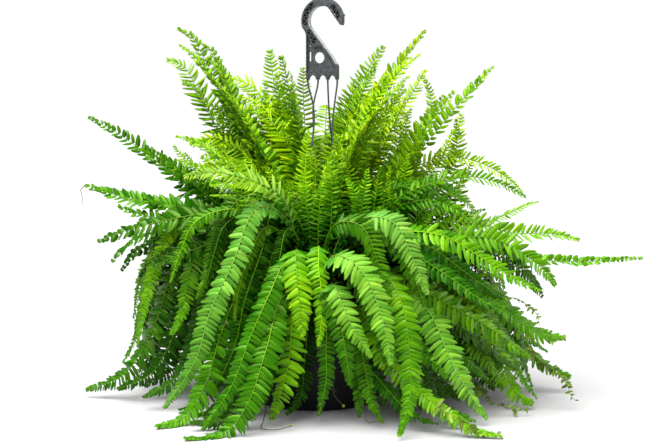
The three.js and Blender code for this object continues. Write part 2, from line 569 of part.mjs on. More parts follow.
// A frond's sections: place, directions and half sizes of the rib, from the crown to the tip
function ribSections(frond, chain, isFirst) {
  const [bottom, top] = chain;
  const curve = smoothCurve(chain);
  const length = curve.getLength();
  const tip = frond.via[frond.via.length - 1];
  const heading = new THREE.Vector3(tip.x - bottom.x, tip.y - bottom.y, 0).normalize();
  const right = new THREE.Vector3(heading.y, -heading.x, 0);
  const crownHalf = (CROWN_WIDTH / 2) * (isFirst ? 1 : 0.68);
  const frame = (at, along, roll) => {
    const across = right.clone().addScaledVector(along, -right.dot(along)).normalize();
    across.applyAxisAngle(along, radians(roll));
    return { at, along, across, up: new THREE.Vector3().crossVectors(across, along) };
  };
  const vertical = new THREE.Vector3(0, 0, 1);
  const sections = [bottom, top].map((at) => (
    { ...frame(at, vertical, 0), halfWidth: crownHalf, halfDepth: crownHalf }
  ));
  const stemStart = (top.z - bottom.z + 16) / length;
  const stemSteps = Math.max(1, Math.round((BARE_STEM - stemStart) * length / STEM_STEP));
  const pairs = Math.max(FEWEST_PAIRS, Math.round((1 - BARE_STEM) * length / LEAFLET_PITCH));
  const stops = [];
  for (let i = 0; i < stemSteps; i += 1) stops.push(mix([stemStart, BARE_STEM], i / stemSteps));
  for (let i = 0; i <= pairs; i += 1) stops.push(mix([BARE_STEM, 1], i / pairs));
  for (const stop of stops) {
    sections.push({
      ...frame(curve.getPointAt(stop), curve.getTangentAt(stop), frond.roll * Math.min(stop / BARE_STEM, 1)),
      halfWidth: mix(RIB_WIDTH, stop) / 2,
      halfDepth: mix(RIB_DEPTH, stop) / 2,
    });
  }
  return { sections, firstPair: 2 + stemSteps, pairs };
}

// Length of a leaflet along the blade, as a share of the half width
function leafletShare(t) {
  const opening = 0.5 + 0.5 * THREE.MathUtils.smoothstep(t, 0, 0.25);
  const tapering = t > 0.5 ? 1 - 0.85 * ((t - 0.5) / 0.5) ** 1.8 : 1;
  return opening * tapering;
}

// Shortest link from the segment cd to the segment ab
function segmentLink(a, b, c, d) {
  const u = b.clone().sub(a);
  const v = d.clone().sub(c);
  const w = a.clone().sub(c);
  const [uu, uv, vv, uw, vw] = [u.dot(u), u.dot(v), v.dot(v), u.dot(w), v.dot(w)];
  const bottom = uu * vv - uv * uv;
  let s = bottom > 1e-9 ? THREE.MathUtils.clamp((uv * vw - vv * uw) / bottom, 0, 1) : 0;
  const t = THREE.MathUtils.clamp((uv * s + vw) / vv, 0, 1);
  s = THREE.MathUtils.clamp((uv * t - uw) / uu, 0, 1);
  return w.addScaledVector(u, s).addScaledVector(v, -t);
}

function edges(triangle) {
  return [[triangle.a, triangle.b], [triangle.b, triangle.c], [triangle.c, triangle.a]];
}

// True where an edge of one triangle or a corner of it comes within the gap of the other
function touches(one, other, gap) {
  const nearest = new THREE.Vector3();
  for (const [first, second] of [[one, other], [other, one]]) {
    const plane = second.getPlane(new THREE.Plane());
    for (const [start, end] of edges(first)) {
      second.closestPointToPoint(start, nearest);
      if (nearest.distanceTo(start) < gap) return true;
      const [before, after] = [plane.distanceToPoint(start), plane.distanceToPoint(end)];
      if (before * after < 0) {
        nearest.lerpVectors(start, end, before / (before - after));
        if (second.containsPoint(nearest)) return true;
      }
    }
  }
  return edges(one).some(([a, b]) => edges(other).some(([c, d]) => segmentLink(a, b, c, d).length() < gap));
}

// Space that is already taken, as triangles in cubic cells
class TakenSpace {
  constructor(cell) {
    this.cell = cell;
    this.cells = new Map();
  }

  keysOf(triangle, margin) {
    const reach = new THREE.Box3().setFromPoints([triangle.a, triangle.b, triangle.c]).expandByScalar(margin);
    const low = reach.min.divideScalar(this.cell).floor();
    const high = reach.max.divideScalar(this.cell).floor();
    const keys = [];
    for (let x = low.x; x <= high.x; x += 1) {
      for (let y = low.y; y <= high.y; y += 1) {
        for (let z = low.z; z <= high.z; z += 1) keys.push(`${x},${y},${z}`);
      }
    }
    return keys;
  }

  take(owner, corners) {
    const triangle = new THREE.Triangle(...corners);
    for (const key of this.keysOf(triangle, 0)) {
      if (!this.cells.has(key)) this.cells.set(key, new Set());
      this.cells.get(key).add({ owner, triangle });
    }
  }

  isFree(owner, corners, gap) {
    const triangle = new THREE.Triangle(...corners);
    const meets = (held) => held.owner !== owner && touches(held.triangle, triangle, gap);
    return !this.keysOf(triangle, gap).some((key) => [...(this.cells.get(key) || [])].some(meets));
  }
}

function clearOfPot(point) {
  if (point.z < SURFACE_CLEARANCE) return false;
  const radius = Math.hypot(point.x, point.y);
  if (point.z > POT_HEIGHT + POT_CLEARANCE) return true;
  const lip = point.z > POT_HEIGHT - LIP_HEIGHT - POT_CLEARANCE ? LUG.circle + LUG.length / 2 : 0;
  return radius > Math.max(wallRadius(point.z), lip) + POT_CLEARANCE;
}

// The two edges of the rib that a leaflet stands on
function leafletBase(near, far, side) {
  const edge = (section) => section.at.clone().addScaledVector(section.across, side * section.halfWidth);
  return [edge(near), edge(far)];
}

// A leaflet's point: straight out from the rib, or bent or shortened until it is clear
function leafletPoint(frond, near, far, side, t, taken) {
  const [start, end] = leafletBase(near, far, side);
  const middle = start.clone().lerp(end, 0.5);
  const along = near.along.clone().add(far.along).normalize();
  const across = near.across.clone().add(far.across).multiplyScalar(side).normalize();
  const up = near.up.clone().add(far.up).normalize();
  for (const size of SIZES) {
    for (const bend of BENDS) {
      const lift = radians(frond.lift + bend);
      const out = across.clone().multiplyScalar(Math.cos(lift)).addScaledVector(up, Math.sin(lift));
      const way = out.clone().multiplyScalar(Math.cos(radians(LEAFLET_SWEEP)));
      way.addScaledVector(along, Math.sin(radians(LEAFLET_SWEEP)));
      const point = middle.clone().addScaledVector(way, frond.half * leafletShare(t) * size);
      const corners = [start, end, point];
      const checked = [point, point.clone().lerp(middle, 0.5)];
      if (checked.every(clearOfPot) && taken.isFree(frond.name, corners, LEAFLET_CLEARANCE)) {
        taken.take(frond.name, corners);
        const normal = new THREE.Vector3().crossVectors(out, along).multiplyScalar(side).normalize();
        return { point, normal };
      }
    }
  }
  return null;
}

// The closed blade: a rib of four-cornered sections, with a leaflet on each side between two sections
function frondSolid(rib, leaflets) {
  const points = [];
  const triangles = [];
  for (const { at, across, up, halfWidth, halfDepth } of rib.sections) {
    for (const [side, face] of [[-1, 1], [1, 1], [1, -1], [-1, -1]]) {
      points.push(at.clone().addScaledVector(across, side * halfWidth).addScaledVector(up, face * halfDepth));
    }
  }
  const quad = (a, b, c, d) => triangles.push(a, b, c, a, c, d);
  const last = 4 * (rib.sections.length - 1);
  quad(0, 3, 2, 1);
  quad(last, last + 1, last + 2, last + 3);
  for (let k = 0; k < rib.sections.length - 1; k += 1) {
    const [leftTop, rightTop, rightBottom, leftBottom] = [0, 1, 2, 3].map((corner) => 4 * k + corner);
    quad(leftTop, rightTop, rightTop + 4, leftTop + 4);
    triangles.push(leftBottom, rightBottom + 4, rightBottom, leftBottom, leftBottom + 4, rightBottom + 4);
    for (const side of [-1, 1]) {
      const [top, bottom] = side > 0 ? [rightTop, rightBottom] : [leftBottom, leftTop];
      const leaflet = leaflets.get(`${k},${side}`);
      if (leaflet) {
        const face = BLADE_THICKNESS / 2;
        const offset = leaflet.normal.clone().multiplyScalar(side * face);
        const tipTop = points.push(leaflet.point.clone().add(offset)) - 1;
        const tipBottom = points.push(leaflet.point.clone().sub(offset)) - 1;
        triangles.push(top, tipTop, top + 4, bottom, bottom + 4, tipBottom);
        quad(top, bottom, tipBottom, tipTop);
        quad(tipTop, tipBottom, bottom + 4, top + 4);
      } else {
        quad(top, bottom, bottom + 4, top + 4);
      }
    }
  }
  const geometry = new THREE.BufferGeometry().setFromPoints(points);
  geometry.setIndex(triangles);
  return toSolid(geometry);
}

function makeFronds(fronds, crowns) {
  const taken = new TakenSpace(30);
  const places = new Map(crowns.map((crown) => [crown.frond.name, crown.place]));
  const prongs = LUG_ANGLES.map((angle, i) => (
    { crown: 'hanger', isFixed: true, places: prongLine(i).getSpacedPoints(2 * PRONG_STEPS) }
  ));
  for (const { places: line } of prongs) {
    for (let k = 1; k < line.length; k += 1) {
      const beside = line[k].clone().add(new THREE.Vector3(PRONG_WIDTH / 2, 0, 0));
      taken.take('hanger', [line[k - 1], line[k], beside]);
    }
  }
  const chains = fronds.map((frond) => {
    const crown = frond.shares || frond.name;
    return { crown, isFixed: false, places: ribChain(frond, places.get(crown), !frond.shares) };
  });
  easeApart([...prongs, ...chains]);
  const ribs = fronds.map((frond, i) => ribSections(frond, chains[i].places, !frond.shares));
  fronds.forEach((frond, i) => {
    const { sections } = ribs[i];
    for (let k = 1; k < sections.length - 1; k += 1) {
      const [leftNear, leftFar] = leafletBase(sections[k], sections[k + 1], -1);
      const [rightNear, rightFar] = leafletBase(sections[k], sections[k + 1], 1);
      taken.take(frond.name, [leftNear, rightNear, rightFar]);
      taken.take(frond.name, [leftNear, rightFar, leftFar]);
    }
  });
  const bodies = new Map();
  fronds.forEach((frond, i) => {
    const { sections, firstPair, pairs } = ribs[i];
    const leaflets = new Map();
    for (let k = 0; k < pairs; k += 1) {
      for (const side of [-1, 1]) {
        const [near, far] = [sections[firstPair + k], sections[firstPair + k + 1]];
        const leaflet = leafletPoint(frond, near, far, side, (k + 0.5) / pairs, taken);
        if (leaflet) leaflets.set(`${firstPair + k},${side}`, leaflet);
      }
    }
    const solid = frondSolid(ribs[i], leaflets);
    const crown = frond.shares || frond.name;
    bodies.set(crown, bodies.has(crown) ? bodies.get(crown).add(solid) : solid);
  });
  return crowns.map(({ frond }) => (
    named(`frond_${frond.name}`, bodies.get(frond.name), TONES[frond.tone], 0.45)
  ));
}

const fronds = listFronds();
const crowns = placeCrowns(fronds);
const group = new THREE.Group();
group.add(makePot(), makeSoil(crowns), makeHanger(), ...makeFronds(fronds, crowns));

export default group;
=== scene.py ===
"""Looks of a potted fern: fine fronds, pot, soil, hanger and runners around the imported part.

Metres, in the part's frame: +Z up, the front faces -Y. Sizes and tables of places are in millimetres.
"""

import math

import bmesh
import bpy
import numpy as np
from mathutils import Matrix, Vector


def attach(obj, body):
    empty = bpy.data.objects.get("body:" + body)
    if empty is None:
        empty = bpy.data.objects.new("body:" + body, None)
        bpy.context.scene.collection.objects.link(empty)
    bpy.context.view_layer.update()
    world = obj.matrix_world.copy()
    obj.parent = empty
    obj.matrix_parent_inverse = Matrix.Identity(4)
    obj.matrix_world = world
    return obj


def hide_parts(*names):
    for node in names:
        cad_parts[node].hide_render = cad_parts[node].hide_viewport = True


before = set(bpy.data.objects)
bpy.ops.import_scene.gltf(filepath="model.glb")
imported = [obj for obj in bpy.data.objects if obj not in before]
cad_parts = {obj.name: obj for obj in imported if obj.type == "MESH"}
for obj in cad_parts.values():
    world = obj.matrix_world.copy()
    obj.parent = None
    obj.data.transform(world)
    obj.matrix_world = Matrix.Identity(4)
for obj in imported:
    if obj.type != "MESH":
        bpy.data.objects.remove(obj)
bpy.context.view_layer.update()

MM = 0.001
SEED = 7

# Edges that turn by more than this many degrees are drawn sharp
GROWN_SHARP = 80
MOULDED_SHARP = 35

# Camera: as the photograph was taken, from straight in front and a little above
CAMERA_PLACE = (0.019, -2.0, 0.46)
CAMERA_DOWN = 5.66
CAMERA_LENS = 74.8
CAMERA_SENSOR = 36

# Light: the room's own light, and lamps far away, each with its place, width in degrees and strength
ROOM_LIGHT = 0.13
LAMPS = (
    ("key", (-0.65, -0.8, 2.4), 62, 8.1),
    ("front", (0.3, -2.0, 0.9), 50, 0.4),
    ("rim", (2.0, 0.5, 0.9), 40, 1.0),
)
FLOOR_SIZE = 30
FLOOR_PLACE = (0, 0, -0.0005)

# Pot
FOOT_RADIUS = 90
WALL_TOP_RADIUS = 128
POT_HEIGHT = 150
WALL_THICKNESS = 2.4
WALL_SWELL = 1.72
FOOT_ROUNDING = 8
LIP_RADIUS = 131
LIP_HEIGHT = 11
LIP_UNDERCUT = 2.5
LIP_ROUNDINGS = (0.8, 1.6, 1.2)
POT_STEPS = 144
LUG_SIZE = (11.5, 14, 10)
LUG_BOTTOM = 137
LUG_TOP = LUG_BOTTOM + LUG_SIZE[2]
LUG_CIRCLE = 133.3
LUG_HOLE = 4.4
LUG_HOLE_CIRCLE = 135
LUG_ANGLES = (135, 225, 45, 315)
BLOCK_EDGE = 0.8
DRAIN_HOLES = 5
DRAIN_RADIUS = 5
DRAIN_CIRCLE = 58

# Hanger: flat shapes are across and up from the middle of the hook's loop
PLATE_CENTRE = (10, 0, 555)
PLATE_TURN = -24
PLATE_THICKNESS = 10
PLATE_EDGE = 0.5
PLATE_LEFT = -25
PLATE_RIGHT = 24
PLATE_BOTTOM = -85
HOOK_OUTER_RADIUS = 32.5
HOOK_INNER_RADIUS = 21
POCKET_DEPTH = 3.5
POCKET_MARGIN = 2
POCKET_RIB = 0.5
TIP_POCKET_LINE = ((12.6, 17.6), (26.4, -0.2))
NECK_POCKET_LINES = (((-19.5, -11.5), (-3.4, -32.6)), ((-26.8, -10.5), (-13.6, -34.2)))
RECESS = ((-23, -75), (22, -75), (22, -66.6), (13.6, -54), (-0.6, -36.4), (-12.5, -37.6), (-23, -19))
FLANGE_LINE = ((-17.2, -11.2), (22.6, -62.6))
ROUND_HOLE = ((-5, -53.4), 8)
TINY_HOLE = ((-19.8, -36.5), 1.3)
SLOT = ((-21.6, -58.5), (-18.0, -58.5), (-18.0, -45), (-21.6, -45))
COLLAR = (6.5, 7, 3)
COLLAR_EDGE = 0.5
COLLAR_RISE = 1.8
PRONG_HEAD = (6, 7, 5)
PRONG_HEAD_DROP = 2.8
PRONG_WIDTH = 2.4
PRONG_SIDES = 10
PRONG_SWELL = 0.2
PRONG_SWELL_STEPS = 2.5
PRONG_STARTS = (-23.8, -7.8, 8, 22.8)
PRONG_ROUTES = (
    ((-4, 12, 431), (-4, 17, 392), (-20, 34, 320), (-60, 66, 240), (-90, 91, 185)),
    ((-4, -1, 431), (-4, -7, 392), (-18, -30, 320), (-58, -64, 240), (-90, -91, 185)),
    ((19, 5, 427), (22, 14, 392), (34, 34, 320), (64, 66, 240), (91, 91, 185)),
    ((26, -12, 427), (24, -16, 392), (34, -34, 320), (64, -66, 240), (91, -91, 185)),
)

# Soil
SOIL_EDGE_HEIGHT = 136
SOIL_MIDDLE_HEIGHT = 141
SOIL_GAP = 0.4
SOIL_TONE = (0.03, 0.019, 0.011)
SOIL_STEPS = 120
LUMP_SIZE = 0.9
LUMP_LIMITS = (-1.6, 2.2)
SOIL_CRUMBS = 700
CRUMB_SIZE = (0.8, 2.6)
CRUMB_TONE = (0.05, 0.03, 0.017)
CRUMB_TONES = (0.4, 1.6)
CRUMB_SHAPES = (0.6, 1.4)
CRUMB_DEPTH = 1.2
PERLITE_SHARE = 0.08
PERLITE_TONE = (0.55, 0.53, 0.48)

# Runners and dry threads: colour, width and places
RUNNERS = (
    ("2c3a12", 2.2, ((-10, -105, 138), (-12, -128, 156), (-15, -150, 138), (-15, -163, 110),
     (-20, -165, 96), (-29, -165, 81), (-34, -165, 73), (-33, -165, 67))),
    ("35401a", 2.0, ((22, -100, 138), (23, -130, 156), (24, -146, 130), (24, -150, 100), (26, -150, 72),
     (25, -150, 41), (30, -150, 32), (38, -150, 23))),
    ("35401a", 1.4, ((25.5, -150, 46), (27, -150, 43), (31, -150, 41))),
    ("2a2f14", 2.0, ((-50, -132, 156), (-62, -152, 120), (-70, -160, 70), (-68, -140, 20), (-71, -160, 4),
     (-71, -200, 3), (-58, -206, 2.5), (-45, -203, 3), (-33, -200, 6))),
    ("4a4a1e", 1.6, ((52, -128, 156), (60, -150, 110), (66, -158, 50), (68, -163, 8), (74, -165, 2),
     (84, -165, 3.5), (92, -165, 2))),
    ("3a3c20", 1.2, ((-329, -50, 320), (-336, -50, 313), (-334, -50, 303), (-333, -50, 288))),
    ("4a3c20", 1.2, ((308, -50, 172), (317, -50, 173), (326, -50, 171), (329, -50, 167), (324, -50, 164))),
    ("3c421a", 1.6, ((-78, -100, 156), (-84, -128, 100), (-78, -126, 40), (-66, -122, 4), (-62, -120, 12),
     (-55, -120, 23))),
)
BUDS = (((-33, -165, 65.5), 3.2), ((39, -150, 22), 2.6), ((-32, -200, 7.5), 2.4), ((93, -165, 3), 2.2))
BUD_TONE = "5a7a1c"
RUNNER_STEP = 3
RUNNER_SIDES = 8
RUNNER_VARIATION = 0.08

# Ragged tips of fronds at the lower right: tone, half width, and the places of the thin rib
RAGGED_TIPS = (
    ("4c6a1a", 14, ((296, -100, 92), (313, -88, 74), (328, -85, 64), (342, -85, 56), (352, -85, 46),
     (360, -85, 33), (364, -85, 21), (371, -85, 14))),
    ("5f8c1c", 11, ((262, -54, 158), (288, -48, 156), (302, -40, 148), (312, -40, 139), (321, -40, 130),
     (325, -40, 115), (330, -40, 107))),
    ("5f8c1c", 12, ((300, -66, 102), (320, -60, 100), (331, -60, 100), (346, -60, 96), (351, -60, 100),
     (360, -60, 102))),
    ("5a7a20", 14, ((162, -234, 40), (175, -238, 33), (188, -240, 27), (200, -240, 19), (209, -240, 10),
     (225, -240, 5), (246, -240, 4))),
    ("4c6a1a", 13, ((222, -130, 44), (244, -124, 22), (259, -120, 16), (273, -120, 12), (285, -120, 8),
     (301, -120, 9))),
)
RAGGED_PITCH = 4.6
RAGGED_SHARE = 0.85
RAGGED_WIDTH = 0.26
RAGGED_FOLD = 0.5
RAGGED_SIZES = (0.4, 1.15)
RAGGED_TONES = (0.5, 1.5)
RAGGED_SWEEP = (0, 40)
RAGGED_LIFT = (-30, 30)

# Young fronds still curled up: foot, top of the stalk, and size of the curl
CROZIERS = (
    ((28, -66), (50, -98, 226), 7),
    ((58, -52), (76, -92, 208), 6),
    ((-6, -70), (-14, -104, 214), 6),
    ((8, -78), (20, -112, 190), 5),
)
CROZIER_TONE = "7fa62c"
CROZIER_TURNS = 1.6
CROZIER_PLACES = 26
CROZIER_STEP = 2
CROZIER_TIGHTENING = 0.72
CROZIER_THICKNESS = (1.6, 0.8)

# Crowns on a spiral in the soil
CROWN_SPACING = 9
SPARE_PLACES = 16
CROWN_BOTTOM = 128
CROWN_TOP = 145
WIDEST_LEAN = 80
GOLDEN_ANGLE = 137.508

# Fronds and leaflets; a pair is for the fronds that hang and for the upright ones, or for root and tip
BARE_STEM = 0.2
BLADE_WIDTH = (0.8, 0.92)
SLENDER_BY_HEIGHT = (1.0, 0.56)
SLENDER_HEIGHT = 380
LEAFLET_FOLD = (0.4, 0.8)
LEAFLET_PITCH = (8.0, 10.3)
LEAFLET_WIDTH = 1.14
LEAFLET_THICKNESS = 0.26
RIB_WIDTH = (2.6, 0.8)
RIB_DEPTH = (2.4, 0.8)
RIB_SIDES = 6
RIB_STEP = 12
CURVE_STEPS = 24
USUAL_HALF = 30
SWAY = 5
HALF_VARIATION = 0.08
LAST_LEAFLET = 0.985

# The blade along its length: how wide it starts and where it is full, where it begins to taper, and how
# much leaflets and their pitch get smaller to the tip
BLADE_START = 0.36
FULL_BLADE = 0.32
TAPER_START = 0.5
TIP_TAPER = 0.85
TIP_NARROWING = 0.5
TIP_PITCH = 0.55

# How leaflets stand, in degrees: leaning to the frond's tip, twisted, and how much both vary
ROOT_SWEEP = (4, 15)
TIP_SWEEP = 26
UPRIGHT_SWEEP = 15
SWEEP_VARIATION = 5
MORE_LIFT = 4
LIFT_VARIATION = 8
TWIST = 14
TWIST_VARIATION = 13

# The form of a leaflet, as shares of its length, each with its variation
BOW = (0.10, 0.05)
SAG = (0.24, 0.07)
HOOK = (0.10, 0.04)
FOLD_VARIATION = 0.15
RIPPLE = 0.05

# Outline of a leaflet: share of its length, and of its width towards the frond's tip and its root
LEAFLET_OUTLINE = ((0.0, 0.5, 0.4), (0.12, 1.1, 0.84), (0.5, 0.98, 0.92), (0.86, 0.6, 0.58))
SIMPLE_OUTLINE = ((0.0, 0.6, 0.45), (0.3, 1.06, 0.94), (0.8, 0.66, 0.64))

# Leaflets turn towards the level where their rib is steep, and droop a little
LEVELLING = 0.35
DROOP = 0.1

# What lies on the floor stays this far above it
FLOOR_GAP = 0.5

# Painted shade: leaflets low on the plant and deep in it are darker than those above and outside, where
# shade falls; darker leaflets also turn greener by channel
PAINTED_SHADE_BY_HEIGHT = (0.62, 1.55)
TOP_HEIGHT = 420
PAINTED_SHADE_BY_DEPTH = (0.2, 1.14)
DEPTHS = (120, 225)
OPEN_HEIGHTS = (230, 350)
SHADE_BY_CHANNEL = (1.9, 1.0, 1.5)
FROND_VARIATION = 0.24
FROND_TONES = (0.6, 1.5)
LEAFLET_VARIATION = 0.15
FRESH_TONES = ("lime", "bright", "pale")
FRESHEST = 0.45
FRESH_TIP = 0.3

# Fronds with short, wide leaflets, set apart: share of the length, pitch and share of the width
OVAL_PLACES = ("left_high_1", "left_high_2", "right_high_1", "right_high_4", "left_out", "right_long")
OVAL_LENGTH = 0.82
OVAL_PITCH = 12
OVAL_WIDTH = 1.3

# Fronds with large leaflets, and with close ones
COARSE_PLACES = ("young_", "left_pale", "pot_", "right_mid", "right_low", "back_")
COARSE_SHARE = 1.12
FINE_PLACES = ("front_", "up_", "left_lime")
FINE_PITCH = 0.86

# Narrower and wider blades, as a share of the half width; a name here stands for all that start with it
BLADE_SHARES = {
    "top_": 1.15, "young_": 1.15, "left_high_3": 1.2, "left_high_4": 1.1, "left_out_2": 1.1,
    "left_lime": 0.7, "right_low_2": 1.12, "right_mid_3": 1.1, "right_lime": 0.9, "right_long": 0.8,
    "right_arch_1": 0.84, "right_arch_4": 0.8, "front_left_1": 0.74, "front_left_3": 0.84,
    "front_left_4": 0.84, "front_left_5": 0.78, "front_left_6": 0.7, "front_pale": 0.84, "front_mid": 0.86,
    "front_bright": 0.98,
}

# Darker and lighter fronds, as a share of their tone
SHADES = {
    "top_": 0.85, "left_high_1": 0.72, "left_high_2": 0.75, "left_high_3": 0.8, "left_out": 0.46,
    "left_low": 0.8, "left_pale": 1.15, "right_high_4": 0.85, "right_arch_1": 0.62, "right_arch_4": 0.62,
    "right_mid": 1.25, "right_low": 1.25, "front_left_1": 0.88, "front_left_5": 0.52, "front_left_6": 0.75,
    "front_floor_1": 0.82, "front_bright": 1.35, "pot_front_1": 1.3,
}

# Smaller fronds beside and under the others: the sides on which they grow as shares of the turn in
# degrees, their reach, width and painted shade as shares, how much lower they hang, and how their roll
# varies; the painted shade darkens those that hang low, as they lie behind and under the others
USUAL_SIDES = (-1, 0.4, 1)
DENSE_SIDES = (-1.8, -1, 0.4, 1, 1.8)
DENSE_PLACES = (
    "right_arch_1", "right_sparse", "right_up_1", "right_mid", "right_high_2", "right_high_3", "left_low",
    "left_mid_1", "left_high_3", "top_", "up_",
)
OUTER_SIDES = {
    "top_1": (0.4, 1, 1.8), "top_3": (1, 1.8), "front_left_6": (-1,), "front_floor_1": (-1,),
    "front_left_1": (-1, 0.4), "front_right_1": (1,),
}
OPEN_PLACES = (
    "right_long", "left_pale", "pot_", "front_left_8", "front_mid", "front_bright", "front_twist", "young_",
)
# Hanging companions take a darker tone: painted shade, as they lie behind and under the others
COMPANION_TONES = {"leaf": "dark", "bright": "leaf", "lime": "leaf", "pale": "leaf", "dark": "dark"}
COMPANION_TURN = (5, 14)
COMPANION_REACH = (0.72, 0.95)
COMPANION_WIDTH = 0.9
COMPANION_DROP = (5, 35)
COMPANION_SHADE = (0.6, 1.0)
COMPANION_ROLL = 20
SHADED_HEIGHTS = (250, 350)
OWN_TONE_HEIGHT = 300
SHORT_PLACES = ("right_arch_1", "right_arch_2", "right_sparse")
SHORT_REACH = 0.84
HIGH_TIP = 380
HIGH_REACH = 0.9
HIGH_FALL = 0.5
LOW_TIP = 60
LOW_REACH = 0.92
LOW_DROP = -8

# Room that companions leave around the pot: out from its wall, around its lip, and above the floor
WALL_ROOM = 14
LIP_ROOM_RADIUS = 148
LIP_ROOM_HEIGHTS = (POT_HEIGHT - 40, POT_HEIGHT + 12)
LOWEST_PLACE = 6

# Young upright fronds in the middle of the front: where their crown is sought as a share of their place,
# sideways reach, depth, height, half width, bend, and their route as shares of way, height and bend
YOUNG_FRONDS = 24
YOUNG_FOOT = (0.45, 0.6)
YOUNG_REACH = (-105, 165)
YOUNG_DEPTH = (-115, -70)
YOUNG_TOP = (300, 410)
YOUNG_MIDDLE = 20
YOUNG_FALL = 0.4
YOUNG_HALF = (12, 18)
YOUNG_BEND = 16
YOUNG_LIFT = 10
YOUNG_ROUTE = ((0.4, 0.3, 0.5), (0.75, 0.62, 1), (0.95, 0.85, 0.3), (1, 1, -1))
GOLDEN_SHARE = 0.618

# Back of the plant: four rows of fronds that arch away evenly, one of each row to a crown; each row has
# its name, its tone, how far it is turned, its reach, half width and roll, and its heights at the steps
BACK_CROWNS = 5
BACK_ANGLES = (28, 152)
BACK_STEPS = (0.25, 0.5, 0.8, 1)
BACK_CURL = 6
REACH_VARIATION = 0.08
SIDE_SHORTENING = 0.25
BACK_ROWS = (
    ("low", "leaf", 0, 345, 31, 0, (205, 240, 150, 25)),
    ("middle", "bright", 11, 330, 30, 20, (265, 320, 305, 240)),
    ("upper", "leaf", 20, 265, 29, 50, (265, 345, 385, 375)),
    ("high", "leaf", -10, 195, 29, 60, (280, 375, 425, 430)),
)

# Colours of the leaflets (top side), as shown in daylight
TONES = {"leaf": "326d01", "bright": "4c9203", "lime": "6aa404", "pale": "4e8430", "dark": "0f4202"}
RIB_TONE = "5c8412"
STEM_TONE = "6b5a2c"

# Brown stem to green rib and on to the leaflets' tone: lengths as shares of the frond, and how much
STEM_FADE = 0.35
RIB_FADE = 0.6
RIB_GREEN = 0.75

# Marks of all that is no leaflet
PLAIN_MARKS = (0, 0, 0.5, 0)

